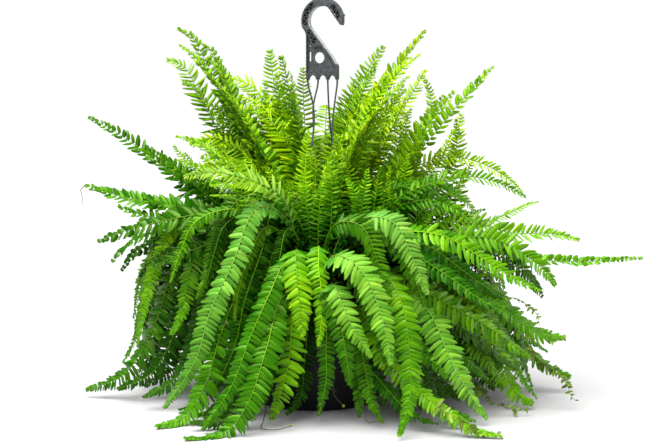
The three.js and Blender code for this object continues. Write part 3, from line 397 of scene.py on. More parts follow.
# Each frond: its name, the frond whose crown it shares, its tone, half its width, its roll about the
# rib, the lift of its leaflets in degrees, and places along its rib from low down to the tip
FROND_KEYS = ("name", "shares", "tone", "half", "roll", "lift", "via")
FRONDS = (
    ("left_high_1", "", "leaf", 28, -40, 28, ((-45, 0, 255), (-95, 15, 375), (-140, 25, 455),
     (-165, 30, 500), (-185, 35, 535), (-205, 35, 545))),
    ("left_high_2", "", "leaf", 25, -42, 25, ((-40, -30, 255), (-85, -35, 365), (-140, -35, 460),
     (-170, -35, 500), (-195, -35, 520))),
    ("left_high_3", "", "leaf", 28, -50, 12, ((-50, 60, 235), (-120, 70, 360), (-175, 75, 445),
     (-200, 75, 490), (-225, 75, 500))),
    ("left_high_4", "", "lime", 31, -60, 0, ((-15, 0, 270), (-35, 20, 370), (-70, 35, 430), (-95, 35, 460),
     (-135, 30, 475))),
    ("left_out_1", "", "leaf", 28, -42, 28, ((-60, 30, 230), (-135, 40, 280), (-220, 40, 335),
     (-295, 40, 390), (-340, 40, 415))),
    ("left_back_1", "", "leaf", 22, -30, 10, ((-55, 75, 220), (-140, 95, 290), (-195, 100, 340),
     (-220, 100, 370))),
    ("left_mid_1", "", "leaf", 26, -70, 5, ((-35, -65, 245), (-100, -85, 330), (-145, -90, 370),
     (-180, -95, 390))),
    ("left_pale", "", "pale", 24, -55, 10, ((-20, -110, 215), (-30, -125, 265), (-45, -140, 310),
     (-90, -155, 335), (-135, -165, 345), (-175, -170, 340))),
    ("left_lime", "left_pale", "lime", 16, -55, 5, ((-25, -90, 245), (-45, -110, 295), (-75, -120, 320),
     (-110, -130, 325), (-145, -130, 325))),
    ("left_out_2", "", "leaf", 28, -42, 22, ((-70, -20, 235), (-160, -40, 280), (-240, -50, 295),
     (-285, -50, 305), (-330, -50, 320))),
    ("left_out_3", "", "leaf", 32, -55, 0, ((-75, -60, 245), (-150, -90, 280), (-205, -100, 275),
     (-260, -100, 260), (-305, -100, 245))),
    ("left_out_4", "", "leaf", 28, -40, 0, ((-80, 10, 220), (-165, 20, 255), (-240, 20, 245),
     (-285, 20, 225), (-305, 20, 200))),
    ("left_low_1", "", "leaf", 32, -60, -12, ((-90, 5, 200), (-165, -10, 230), (-210, -20, 185),
     (-235, -25, 115), (-283, -20, 38), (-343, -5, 12))),
    ("left_low_2", "", "leaf", 29, -75, -12, ((-100, 60, 220), (-180, 80, 255), (-235, 90, 205),
     (-257, 95, 130), (-270, 95, 60))),
    ("top_1", "", "leaf", 28, -40, 5, ((-25, 40, 245), (-45, 50, 350), (-55, 55, 420), (-65, 60, 475),
     (-70, 60, 515))),
    ("top_2", "", "leaf", 28, -115, 5, ((-10, 0, 245), (-25, 0, 370), (-40, 0, 460), (-50, -5, 505))),
    ("top_3", "top_1", "leaf", 24, 0, 5, ((-5, 70, 235), (-15, 80, 365), (-20, 85, 445), (-20, 90, 490))),
    ("top_4", "", "leaf", 26, 65, 8, ((20, 20, 245), (40, 30, 380), (60, 35, 450), (80, 35, 490),
     (100, 35, 520))),
    ("right_high_1", "", "leaf", 28, 50, 28, ((25, -30, 235), (45, -40, 355), (70, -45, 420),
     (115, -50, 485), (155, -50, 540))),
    ("right_high_2", "", "leaf", 24, 50, 25, ((20, -80, 250), (45, -90, 350), (75, -100, 430),
     (110, -100, 475), (145, -100, 505))),
    ("right_high_3", "", "leaf", 26, 45, 8, ((35, 60, 225), (75, 75, 335), (120, 80, 410), (145, 80, 450),
     (165, 80, 485))),
    ("right_lime", "right_high_3", "lime", 22, 35, -10, ((50, 100, 215), (130, 110, 340), (170, 110, 400),
     (175, 105, 445), (160, 100, 480))),
    ("right_high_4", "", "leaf", 27, 48, 30, ((35, -10, 220), (95, -20, 310), (160, -30, 380),
     (205, -30, 435), (255, -30, 490))),
    ("right_up_1", "", "leaf", 30, 60, 5, ((45, 30, 200), (135, 40, 225), (190, 40, 260), (205, 40, 320),
     (210, 40, 380), (215, 40, 420))),
    ("right_arch_1", "", "leaf", 26, 42, 22, ((35, -70, 230), (100, -90, 295), (160, -95, 325),
     (215, -95, 335), (260, -95, 325), (295, -95, 305))),
    ("right_sparse", "", "leaf", 20, 30, 0, ((55, 60, 195), (145, 80, 230), (235, 85, 245), (290, 85, 265),
     (320, 85, 280), (340, 85, 285))),
    ("right_arch_2", "", "leaf", 28, 40, 15, ((50, -30, 220), (140, -40, 260), (220, -45, 265),
     (285, -45, 250), (340, -45, 250), (380, -45, 240))),
    ("right_long", "", "leaf", 24, 40, 30, ((55, 20, 195), (155, 30, 230), (250, 30, 230), (315, 30, 205),
     (395, 30, 200), (490, 30, 205))),
    ("right_arch_3", "", "leaf", 30, 55, 0, ((50, -60, 200), (145, -80, 235), (230, -90, 250),
     (280, -90, 235), (315, -90, 210), (340, -90, 180))),
    ("right_arch_4", "", "lime", 32, 40, 0, ((35, -110, 225), (105, -140, 260), (170, -160, 260),
     (225, -165, 230), (265, -170, 205), (305, -170, 185))),
    ("front_pale_1", "", "pale", 33, 50, -12, ((20, -130, 215), (40, -150, 265), (70, -170, 285),
     (105, -185, 280), (130, -200, 235), (150, -205, 185))),
    ("front_pale_2", "", "pale", 34, 25, -12, ((10, -140, 195), (20, -170, 230), (40, -200, 235),
     (65, -220, 215), (85, -235, 170), (95, -245, 130), (100, -250, 100))),
    ("front_bright", "", "bright", 30, 0, -12, ((-15, -120, 215), (-25, -155, 240), (-25, -185, 220),
     (-20, -205, 175), (-15, -210, 130))),
    ("front_twist", "front_bright", "lime", 22, 0, -15, ((0, -125, 220), (5, -150, 245), (5, -180, 220),
     (10, -195, 170), (5, -200, 115))),
    ("front_mid", "", "pale", 28, 15, -12, ((15, -150, 185), (25, -185, 195), (40, -210, 165),
     (55, -220, 135), (75, -225, 105))),
    ("up_1", "", "leaf", 24, 65, 0, ((15, -85, 190), (25, -75, 255), (25, -60, 315), (25, -40, 370))),
    ("up_2", "top_4", "leaf", 22, 100, 0, ((25, -60, 200), (50, -55, 280), (55, -40, 330), (55, -20, 385))),
    ("up_3", "", "leaf", 24, 65, 0, ((40, -80, 185), (95, -85, 245), (120, -75, 295), (130, -60, 365))),
    ("up_4", "", "lime", 22, -115, -5, ((-5, -80, 200), (-10, -70, 285), (-15, -55, 340), (-10, -35, 400))),
    ("up_5", "left_mid_1", "lime", 20, -60, 0, ((-25, -50, 225), (-60, -50, 295), (-85, -45, 340),
     (-105, -35, 370))),
    ("up_6", "right_high_4", "leaf", 26, 60, 0, ((45, 0, 210), (115, -10, 285), (155, -15, 330),
     (180, -15, 370))),
    ("front_left_1", "", "pale", 33, -40, -12, ((-20, -100, 225), (-50, -130, 290), (-80, -150, 295),
     (-110, -180, 225), (-140, -190, 160), (-160, -195, 95), (-205, -185, 25))),
    ("front_left_2", "", "lime", 15, -40, -12, ((-35, -125, 245), (-65, -135, 270), (-90, -145, 230),
     (-105, -150, 180), (-110, -155, 140))),
    ("front_left_3", "", "leaf", 30, -55, -12, ((-30, -70, 240), (-70, -90, 305), (-105, -100, 305),
     (-130, -110, 265), (-145, -115, 215), (-165, -120, 165))),
    ("front_left_4", "", "leaf", 30, -50, -12, ((-45, -40, 235), (-110, -60, 275), (-150, -75, 255),
     (-175, -85, 205), (-190, -90, 140), (-205, -95, 110))),
    ("front_left_5", "front_left_4", "lime", 20, -50, -12, ((-45, -80, 255), (-110, -105, 290),
     (-165, -125, 275), (-185, -130, 235), (-200, -135, 190))),
    ("front_dark", "front_left_3", "dark", 24, -55, -12, ((-20, -90, 230), (-40, -110, 265),
     (-60, -125, 240), (-70, -130, 200), (-75, -130, 170))),
    ("front_left_6", "", "leaf", 33, -30, -12, ((-25, -120, 205), (-40, -160, 225), (-60, -190, 185),
     (-85, -205, 130), (-110, -215, 65), (-150, -220, 5))),
    ("front_left_7", "", "leaf", 30, -30, -12, ((-55, -80, 175), (-100, -110, 180), (-130, -140, 120),
     (-150, -155, 55), (-180, -170, 10), (-215, -195, 5))),
    ("front_floor_1", "", "leaf", 28, -25, -12, ((-20, -130, 175), (-45, -170, 175), (-65, -210, 110),
     (-90, -230, 40), (-120, -235, 5), (-170, -255, 5))),
    ("front_left_8", "", "dark", 26, -15, -12, ((-20, -110, 165), (-40, -140, 140), (-60, -165, 90),
     (-80, -185, 45), (-100, -205, 5))),
    ("pot_front_1", "", "bright", 26, 0, -12, ((-15, -130, 175), (-20, -160, 170), (-30, -180, 140),
     (-35, -185, 90), (-45, -190, 50), (-60, -180, 10))),
    ("pot_front_2", "", "leaf", 16, 0, -12, ((5, -140, 165), (15, -165, 145), (15, -180, 100),
     (15, -185, 65), (5, -180, 15))),
    ("pot_front_3", "pot_front_2", "dark", 18, 0, 0, ((-5, -126, 166), (-10, -146, 130), (-15, -145, 80),
     (-20, -150, 35), (-40, -150, 10))),
    ("pot_right_1", "", "dark", 18, 0, 0, ((25, -130, 165), (45, -155, 145), (55, -170, 95), (60, -175, 45),
     (60, -170, 10))),
    ("pot_right_2", "pot_right_1", "leaf", 18, 0, -12, ((35, -140, 160), (55, -170, 140), (65, -185, 95),
     (75, -190, 45), (90, -195, 10))),
    ("pot_right_3", "pot_right_1", "leaf", 18, 0, 0, ((38, -104, 168), (68, -136, 145), (82, -148, 95),
     (90, -145, 50), (95, -145, 20))),
    ("front_right_1", "", "leaf", 24, 20, -12, ((45, -120, 190), (90, -160, 210), (115, -195, 175),
     (125, -220, 115), (125, -240, 55), (110, -255, 5))),
    ("front_right_2", "", "pale", 31, 35, -12, ((50, -90, 180), (110, -130, 190), (155, -155, 155),
     (180, -170, 100), (210, -175, 45), (235, -175, 10))),
    ("front_floor_2", "", "lime", 24, 25, 0, ((40, -130, 165), (75, -165, 140), (100, -190, 90),
     (140, -205, 55), (180, -225, 25), (210, -235, 10), (245, -245, 5))),
    ("right_low_1", "right_mid_1", "leaf", 28, 40, -12, ((50, -50, 180), (125, -80, 200), (190, -95, 160),
     (225, -100, 100), (260, -100, 50))),
    ("right_low_2", "", "leaf", 32, 50, -12, ((60, -30, 175), (150, -55, 195), (220, -70, 150),
     (265, -80, 70), (285, -80, 25), (310, -85, 10))),
    ("right_mid_1", "", "leaf", 26, 40, -12, ((50, -100, 195), (105, -130, 205), (160, -145, 175),
     (215, -150, 145), (255, -150, 120), (295, -150, 90))),
    ("right_mid_2", "", "leaf", 34, 55, -12, ((55, 0, 190), (150, -15, 215), (240, -25, 170),
     (290, -25, 125), (330, -25, 100), (365, -25, 95))),
    ("right_mid_3", "", "leaf", 28, 50, -12, ((55, 40, 175), (165, 40, 195), (260, 35, 145), (310, 30, 75),
     (350, 30, 40), (385, 30, 25))),
    ("right_mid_4", "right_sparse", "leaf", 24, 55, 0, ((55, 60, 195), (160, 75, 225), (230, 80, 215),
     (270, 85, 185), (290, 85, 150))),
)

# More fronds on the flanks, with the same values but no name of their own
FLANK_FRONDS = (
    ("left_low_1", "dark", 17, -40, 0, ((-111, -10, 244), (-162, -20, 259), (-212, -30, 239),
     (-241, -35, 188), (-255, -40, 138), (-264, -45, 93))),
    ("left_low_1", "bright", 15, -50, 0, ((-110, -30, 250), (-167, -40, 266), (-208, -60, 249),
     (-226, -70, 212), (-237, -75, 173), (-247, -80, 134), (-254, -80, 92))),
    ("left_low_1", "dark", 22, -35, 0, ((-116, 30, 236), (-190, 30, 246), (-231, 25, 202), (-247, 20, 147),
     (-254, 10, 85), (-261, 0, 44))),
    ("left_low_1", "dark", 18, -45, 0, ((-126, 0, 241), (-205, 0, 237), (-252, 0, 196), (-264, -5, 154),
     (-270, -5, 118))),
    ("right_low_2", "dark", 22, 35, 0, ((171, 20, 236), (228, 10, 208), (278, 0, 152), (302, -10, 94),
     (311, -20, 41))),
    ("left_high_3", "bright", 19, -50, 8, ((-46, 0, 272), (-79, 0, 324), (-126, 0, 356), (-170, 0, 379),
     (-205, 0, 388))),
    ("left_high_3", "leaf", 18, -50, 8, ((-52, -20, 259), (-81, -30, 300), (-130, -40, 329),
     (-173, -40, 348), (-200, -40, 355))),
    ("right_low_2", "leaf", 19, 40, 0, ((122, -20, 252), (181, -20, 223), (238, -40, 152), (280, -60, 80),
     (293, -70, 47), (319, -70, 13))),
    ("right_arch_1", "leaf", 20, 55, 10, ((79, 0, 294), (123, 0, 331), (189, 0, 357), (240, 0, 349),
     (284, -5, 324), (302, -10, 305))),
    ("right_arch_1", "leaf", 22, 50, 5, ((50, -20, 259), (100, -30, 279), (151, -30, 289), (194, -30, 279),
     (230, -30, 259))),
    ("right_mid_1", "leaf", 24, 40, 0, ((93, -40, 254), (163, -60, 238), (219, -80, 189), (279, -90, 137),
     (318, -90, 111), (350, -90, 104))),
    ("right_high_3", "leaf", 22, 60, 5, ((42, 0, 257), (68, 20, 304), (86, 30, 352), (106, 40, 405))),
    ("right_high_3", "bright", 20, 50, 5, ((50, 10, 258), (110, 30, 304), (145, 40, 352), (162, 50, 401))),
    ("up_1", "bright", 15, 65, 5, ((34, -60, 246), (53, -60, 283), (66, -50, 323), (76, -40, 368))),
    ("right_arch_1", "leaf", 17, 55, 5, ((123, 0, 272), (170, 0, 306), (204, 0, 306), (232, 0, 277),
     (247, 0, 238))),
    ("right_arch_1", "leaf", 17, 50, 5, ((115, -20, 252), (159, -20, 289), (195, -20, 289),
     (221, -20, 259))),
    ("left_low_1", "leaf", 20, -45, 0, ((-165, 20, 240), (-225, 20, 255), (-249, 20, 200), (-258, 15, 144),
     (-267, 10, 92), (-289, 5, 49))),
    ("front_left_4", "dark", 22, -50, -8, ((-46, -90, 271), (-91, -110, 259), (-110, -118, 206),
     (-127, -125, 129), (-143, -135, 63))),
    ("front_left_3", "dark", 22, -40, -8, ((-38, -95, 261), (-71, -118, 248), (-87, -132, 194),
     (-100, -142, 125), (-110, -146, 48))),
    ("front_left_6", "dark", 20, -30, -8, ((-36, -98, 257), (-56, -126, 238), (-68, -145, 185),
     (-76, -155, 119), (-85, -160, 40))),
    ("right_up_1", "leaf", 19, 60, 5, ((117, 20, 255), (160, 20, 315), (186, 20, 359), (200, 20, 393))),
    ("right_up_1", "leaf", 18, 55, 5, ((100, 10, 226), (154, 10, 256), (195, 10, 293), (218, 10, 326),
     (232, 10, 355))),
    ("right_arch_1", "leaf", 20, 50, 5, ((70, -30, 226), (120, -30, 262), (162, -30, 285), (206, -30, 283),
     (239, -30, 252))),
    ("right_high_3", "leaf", 18, 60, 8, ((60, 20, 240), (107, 30, 329), (125, 40, 381), (141, 40, 428))),
    ("top_1", "bright", 18, -50, 8, ((-50, 20, 270), (-81, 30, 351), (-76, 40, 410), (-75, 40, 467))),
    ("right_mid_3", "leaf", 20, 45, -5, ((153, 0, 196), (225, 0, 163), (272, 0, 103), (304, 0, 55),
     (322, 0, 14))),
    ("right_mid_3", "leaf", 18, 50, -5, ((170, 20, 203), (244, 20, 170), (293, 20, 121), (321, 15, 84),
     (346, 10, 66))),
    ("right_up_1", "leaf", 18, 60, 5, ((94, 0, 265), (160, 0, 302), (196, 0, 338), (206, 0, 378),
     (204, 0, 414))),
)


def mix(a, b, t):
    return a + (b - a) * t


def between(value, low, high):
    return (value - low) / (high - low)


def smooth(t):
    t = np.clip(t, 0, 1)
    return t * t * (3 - 2 * t)


def unit(v):
    return v / np.maximum(np.linalg.norm(v, axis=-1, keepdims=True), 1e-9)


def linear(code):
    """A colour written as six hexadecimal digits, in linear light."""
    shown = np.array([int(code[i : i + 2], 16) for i in (0, 2, 4)]) / 255
    return np.where(shown <= 0.04045, shown / 12.92, ((shown + 0.055) / 1.055) ** 2.4)


def on_circle(radius, angle, height):
    return [radius * math.cos(math.radians(angle)), radius * math.sin(math.radians(angle)), height]


# Curves


def smooth_curve(places, step):
    """Points about step apart on a centripetal Catmull-Rom curve through places."""
    p = np.array(places, float)
    p = np.vstack([2 * p[0] - p[1], p, 2 * p[-1] - p[-2]])
    points = []
    for a, b, c, d in zip(p, p[1:], p[2:], p[3:]):
        d0, d1, d2 = (max(np.linalg.norm(w - v), 1e-6) ** 0.5 for v, w in ((a, b), (b, c), (c, d)))
        leave = ((b - a) / d0 - (c - a) / (d0 + d1) + (c - b) / d1) * d1
        arrive = ((c - b) / d1 - (d - b) / (d1 + d2) + (d - c) / d2) * d1
        t = np.linspace(0, 1, CURVE_STEPS, endpoint=False)[:, None]
        points.append(
            (2 * t**3 - 3 * t**2 + 1) * b
            + (t**3 - 2 * t**2 + t) * leave
            + (3 * t**2 - 2 * t**3) * c
            + (t**3 - t**2) * arrive
        )
    line = np.vstack([*points, p[-2:-1]])
    return resample(line, max(2, round(length_of(line) / step)))


def length_of(line):
    return np.linalg.norm(np.diff(line, axis=0), axis=1).sum()


def sampled(values, known, wanted):
    """Rows of values, given at the known stops on a way, at the wanted ones."""
    return np.stack([np.interp(wanted, known, column) for column in values.T], axis=1)


def resample(line, steps):
    """Points along a line at even steps."""
    run = np.concatenate([[0], np.cumsum(np.linalg.norm(np.diff(line, axis=0), axis=1))])
    return sampled(line, run, np.linspace(0, 1, steps + 1) * run[-1])


def tangents(line):
    return unit(np.gradient(line, axis=0))


def turned(v, axis, angle):
    """v turned about axis by an angle in radians, row by row."""
    c, s = np.cos(angle)[..., None], np.sin(angle)[..., None]
    return v * c + np.cross(axis, v) * s + axis * (axis * v).sum(-1, keepdims=True) * (1 - c)


# Meshes


def linked(name, data):
    """A new object in the scene."""
    item = bpy.data.objects.new(name, data)
    bpy.context.scene.collection.objects.link(item)
    return item


def soften(mesh, sharp):
    mesh.shade_smooth()
    mesh.set_sharp_from_angle(angle=math.radians(sharp))


class Body:
    """Closed bodies gathered into one mesh, each point with a tone and with marks for its material.

    The marks of a leaflet's point: along it, away from its midrib, chance, and on its underside.
    """

    def __init__(self):
        self.points, self.faces, self.tones, self.marks, self.count = [], [], [], [], 0

    def add(self, points, faces, tone, marks=(0, 0, 0, 0)):
        points = np.asarray(points, float).reshape(-1, 3)
        self.points.append(points)
        self.faces += [np.asarray(f, int) + self.count for f in faces]
        self.tones.append(np.broadcast_to(tone, points.shape))
        self.marks.append(np.broadcast_to(marks, (len(points), 4)))
        self.count += len(points)

    def build(self, name, material):
        mesh = bpy.data.meshes.new(name)
        corners = np.concatenate([f.ravel() for f in self.faces])
        sizes = np.concatenate([np.full(len(f), f.shape[1]) for f in self.faces])
        mesh.vertices.add(self.count)
        mesh.vertices.foreach_set("co", (np.vstack(self.points) * MM).astype(np.float32).ravel())
        mesh.loops.add(len(corners))
        mesh.loops.foreach_set("vertex_index", corners.astype(np.int32))
        mesh.polygons.add(len(sizes))
        starts = np.concatenate([[0], np.cumsum(sizes)[:-1]])
        mesh.polygons.foreach_set("loop_start", starts.astype(np.int32))
        mesh.update(calc_edges=True)
        soften(mesh, GROWN_SHARP)
        tones = np.hstack([np.vstack(self.tones), np.ones((self.count, 1))])
        for kind, values in (("tone", tones), ("marks", np.vstack(self.marks))):
            data = mesh.attributes.new(kind, "FLOAT_COLOR", "POINT").data
            data.foreach_set("color", values.astype(np.float32).ravel())
        mesh.materials.append(material)
        return linked(name, mesh)


def finish_piece(piece, slot, *nodes):
    """Hands a piece over to the frame, in the place of the solids that it stands for."""
    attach(piece, "root")
    if nodes:
        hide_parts(*nodes)


def ring_walls(rings, sides):
    """Faces between rings of points that follow each other."""
    k = np.arange(sides)
    following = (k + 1) % sides
    starts = np.arange(rings - 1)[:, None] * sides
    corners = [starts + k, starts + following, starts + following + sides, starts + k + sides]
    return np.stack(corners, axis=-1).reshape(-1, 4)


def tube(line, across, up, width, depth, sides=RIB_SIDES):
    """Points and faces of a closed tube; width and depth are half sizes along the line."""
    turns = np.linspace(0, 2 * math.pi, sides, endpoint=False)
    ring = (
        across[:, None] * np.cos(turns)[:, None] * np.reshape(width, (-1, 1, 1))
        - up[:, None] * np.sin(turns)[:, None] * np.reshape(depth, (-1, 1, 1))
    )
    points = (line[:, None] + ring).reshape(-1, 3)
    k = np.arange(sides)
    return points, [ring_walls(len(line), sides), k[::-1][None], (k + (len(line) - 1) * sides)[None]]


def add_round_tube(body, line, beside, size, sides, tone, marks=PLAIN_MARKS):
    """A tube with a round section; beside is a direction that the line never takes."""
    along = tangents(line)
    side = unit(np.cross(along, beside))
    body.add(*tube(line, side, np.cross(side, along), size, size, sides), tone, marks)


# Lists of fronds


def tip_height(frond):
    return frond["via"][-1][2]


def list_fronds():
    fronds = [dict(zip(FROND_KEYS, row)) for row in FRONDS]
    for i in range(BACK_CROWNS):
        for row, tone, offset, reach, half, roll, heights in BACK_ROWS:
            angle = mix(*BACK_ANGLES, i / (BACK_CROWNS - 1)) + offset
            sideways = math.cos(math.radians(angle))
            reach *= 1 + REACH_VARIATION * math.sin(5 * i + half)
            reach *= 1 - SIDE_SHORTENING * abs(sideways)
            via = [
                on_circle(step * reach, angle + BACK_CURL * step, height)
                for step, height in zip(BACK_STEPS, heights)
            ]
            shares = "" if row == "low" else f"back_low_{i + 1}"
            values = (f"back_{row}_{i + 1}", shares, tone, half, roll * sideways, 0, via)
            fronds.append(dict(zip(FROND_KEYS, values)))
    return fronds


def place_crowns(fronds):
    """Each crown's place in the soil: the fronds that lean out most take the outer places."""
    crowns = [frond for frond in fronds if not frond["shares"]]
    for frond in crowns:
        x, y, z = frond["via"][0]
        frond["lean"] = math.degrees(math.atan2(math.hypot(x, y), z - CROWN_TOP))
        frond["direction"] = math.degrees(math.atan2(y, x))
    count = len(crowns) + SPARE_PLACES
    widest = CROWN_SPACING * math.sqrt(count)
    free = [
        on_circle(CROWN_SPACING * math.sqrt(i + 0.5), i * GOLDEN_ANGLE, CROWN_TOP) for i in range(count)
    ]
    places = {}
    for frond in sorted(crowns, key=lambda crown: -crown["lean"]):
        out = widest * min(frond["lean"] / WIDEST_LEAN, 1)
        wanted = on_circle(out, frond["direction"], CROWN_TOP)
        free.sort(key=lambda place: math.dist(place, wanted))
        places[frond["name"]] = free.pop(0)
    return places


def add_young_fronds(fronds, places):
    """Slender upright fronds in the middle of the front, each from the nearest crown."""
    rng = np.random.default_rng(SEED + 1)
    for i in range(YOUNG_FRONDS):
        x = mix(*YOUNG_REACH, (i * GOLDEN_SHARE) % 1)
        y, top = rng.uniform(*YOUNG_DEPTH), rng.uniform(*YOUNG_TOP) - YOUNG_FALL * abs(x - YOUNG_MIDDLE)
        foot = (YOUNG_FOOT[0] * x, YOUNG_FOOT[1] * y)
        crown = min(places, key=lambda name: math.dist(places[name][:2], foot))
        bend = rng.uniform(-YOUNG_BEND, YOUNG_BEND)
        start = places[crown]
        via = [
            [mix(start[0], x, share) + bend * bent, mix(start[1], y, share), mix(CROWN_TOP, top, height)]
            for share, height, bent in YOUNG_ROUTE
        ]
        tone, half = ("lime", "bright", "leaf")[i % 3], rng.uniform(*YOUNG_HALF)
        row = (f"young_{i + 1}", crown, tone, half, None, YOUNG_LIFT, via)
        fronds.append(dict(zip(FROND_KEYS, row)))


def clear_of_pot(place):
    """The place, moved out so that it stays clear of the pot's wall, lip and lugs."""
    x, y, z = place
    out = math.hypot(x, y)
    least = wall_radius(z) + WALL_ROOM
    if z > LIP_ROOM_HEIGHTS[0]:
        least = LIP_ROOM_RADIUS
    if z > LIP_ROOM_HEIGHTS[1]:
        least = 0
    grow = max(1, least / max(out, 1))
    return [x * grow, y * grow, max(z, LOWEST_PLACE)]


def companion_sides(name):
    return OUTER_SIDES.get(name, DENSE_SIDES if name.startswith(DENSE_PLACES) else USUAL_SIDES)


def add_companions(fronds):
    """Smaller fronds beside and under most of the others, from the same crown."""
    rng = np.random.default_rng(SEED)
    crowded = [frond for frond in fronds if not frond["name"].startswith(OPEN_PLACES)]
    for frond, side in [(frond, side) for frond in crowded for side in companion_sides(frond["name"])]:
        turn = math.radians(side * rng.uniform(*COMPANION_TURN))
        reach, drop = rng.uniform(*COMPANION_REACH), rng.uniform(*COMPANION_DROP)
        fall = 1
        if tip_height(frond) > HIGH_TIP:
            reach, fall = reach * HIGH_REACH, mix(1, reach, HIGH_FALL)
        if frond["name"].startswith(SHORT_PLACES):
            reach *= SHORT_REACH
        if tip_height(frond) < LOW_TIP:
            reach, drop = reach * LOW_REACH, LOW_DROP
        via = []
        for k, (x, y, z) in enumerate(frond["via"]):
            out, angle = math.hypot(x, y) * reach, math.atan2(y, x) + turn * min(1, 0.4 + 0.3 * k)
            height = mix(CROWN_TOP, z, fall) - drop * min(1, 0.5 * k)
            via.append(clear_of_pot([out * math.cos(angle), out * math.sin(angle), height]))
        has_own_tone = tip_height(frond) > OWN_TONE_HEIGHT
        fronds.append({
            **frond,
            "name": f"{frond['name']}_beside_{side}",
            "shares": frond["shares"] or frond["name"],
            # Hanging companions take a darker tone and a painted shade, as they lie behind and under the
            # others
            "tone": frond["tone"] if has_own_tone else COMPANION_TONES[frond["tone"]],
            "half": frond["half"] * COMPANION_WIDTH,
            "shade": mix(*COMPANION_SHADE, smooth(between(tip_height(frond), *SHADED_HEIGHTS))),
            "roll": frond["roll"] + rng.uniform(-1, 1) * COMPANION_ROLL,
            "via": via,
        })


def add_flank_fronds(fronds):
    for i, row in enumerate(FLANK_FRONDS):
        fronds.append(dict(zip(FROND_KEYS, (f"flank_{i + 1}", *row))))


# Fronds


def share_for(name, shares):
    """The product of the shares whose name starts this one."""
    return math.prod(share for start, share in shares.items() if name.startswith(start))


def leaflet_share(t):
    """Length of a leaflet along the blade, as a share of the frond's half width."""
    taper = np.clip(between(t, TAPER_START, 1), 0, 1) ** 2.4
    return mix(BLADE_START, 1, smooth(t / FULL_BLADE)) * (1 - TIP_TAPER * taper)


def frond_frames(line, roll, sway):
    """Directions along, across and up at each point of a rib; across lies level before the roll.

    A frond without a roll of its own faces the front.
    """
    along = tangents(line)
    heading = unit((line[-1] - line[0]) * (1, 1, 0)) if roll is not None else np.array([0, 1, 0])
    right = np.array([heading[1], -heading[0], 0])
    across = unit(right - along * (along @ right)[:, None])
    share = np.linspace(0, 1, len(line))
    turn = math.radians(roll or 0) * np.minimum(share / BARE_STEM, 1) + sway(share)
    across = turned(across, along, turn)
    return along, across, np.cross(across, along)


def rib_stops(line, frames, wanted):
    """Places on a rib, and the directions there, at shares of the rib's length."""
    known = np.linspace(0, 1, len(line))
    return sampled(line, known, wanted), [unit(sampled(way, known, wanted)) for way in frames]


def above_floor(*ring):
    rise = np.maximum(0, FLOOR_GAP - np.min([p[:, 2] for p in ring], axis=0))
    return [p + rise[:, None] * (0, 0, 1) for p in ring]


def add_leaflets(body, rng, outline, roots, ways, side, length, width, sweep, lift, fold, tones):
    """One row of leaflets: closed, folded a little along the midrib, and drooping to the tip."""
    count = len(roots)
    along, across, up = ways

    def varied(middle, variation):
        return middle + rng.normal(0, variation, count)[:, None]

    lift = np.radians(np.reshape(lift, (-1, 1)) + varied(0, LIFT_VARIATION))
    sweep = np.radians(np.reshape(sweep, (-1, 1)) + varied(0, SWEEP_VARIATION))
    out = side * across * np.cos(lift) + up * np.sin(lift)
    way = out * np.cos(sweep) + along * np.sin(sweep)
    level = np.abs(along[:, 2:])
    way = unit(way * np.hstack([np.ones((count, 2)), 1 - LEVELLING * level]) - np.array([0, 0, DROOP]))
    edge = side * unit(along - way * (along * way).sum(-1, keepdims=True))
    face = np.cross(way, edge)
    twist = np.radians(-side * TWIST + rng.normal(0, TWIST_VARIATION, count))
    edge, face = turned(edge, way, twist), turned(face, way, twist)
    bow, sag, hook = varied(*BOW), varied(*SAG), varied(*HOOK)
    cup = varied(0, FOLD_VARIATION) - fold
    length, width = length[:, None], width[:, None]
    rings = []
    for share, tip_side, root_side in outline:
        middle = (
            roots
            + way * length * share
            + face * length * (bow * share - sag * share**2)
            + side * edge * length * hook * share**2
        )
        ahead, behind = (tip_side, root_side) if side > 0 else (root_side, tip_side)
        ripple = 1 + RIPPLE * rng.normal(0, 1, (count, 1))
        thick = LEAFLET_THICKNESS * (1 - 0.6 * share)
        rings += above_floor(
            middle - edge * width * behind * ripple + face * cup * width * behind,
            middle + face * thick,
            middle + edge * width * ahead * ripple + face * cup * width * ahead,
            middle - face * thick,
        )
    tip = roots + way * length + face * length * (bow - sag) + side * edge * length * hook
    points = np.stack([*rings, *above_floor(tip)], axis=1)
    size = points.shape[1]
    k = np.arange(4)
    last = size - 5
    ends = np.stack([last + k, np.full(4, size - 1), last + (k + 1) % 4], -1)
    offsets = (np.arange(count) * size)[:, None, None]
    walls = ring_walls(len(outline), 4)[:, (0, 3, 2, 1)]
    faces = [(some + offsets).reshape(-1, some.shape[1]) for some in (walls, k[None], ends)]
    marks = np.zeros((count, size, 4))
    marks[:, :, 0] = np.append(np.repeat([share for share, _, _ in outline], 4), 1)
    marks[:, :, 1] = np.append(np.tile([1, 0, 1, 0], len(outline)), 0.5)
    marks[:, :, 2] = rng.random((count, 1))
    marks[:, :, 3] = np.append(np.tile([0.5, 0, 0.5, 1], len(outline)), 0.5)
    body.add(points, faces, np.repeat(tones, size, axis=0), marks.reshape(-1, 4))


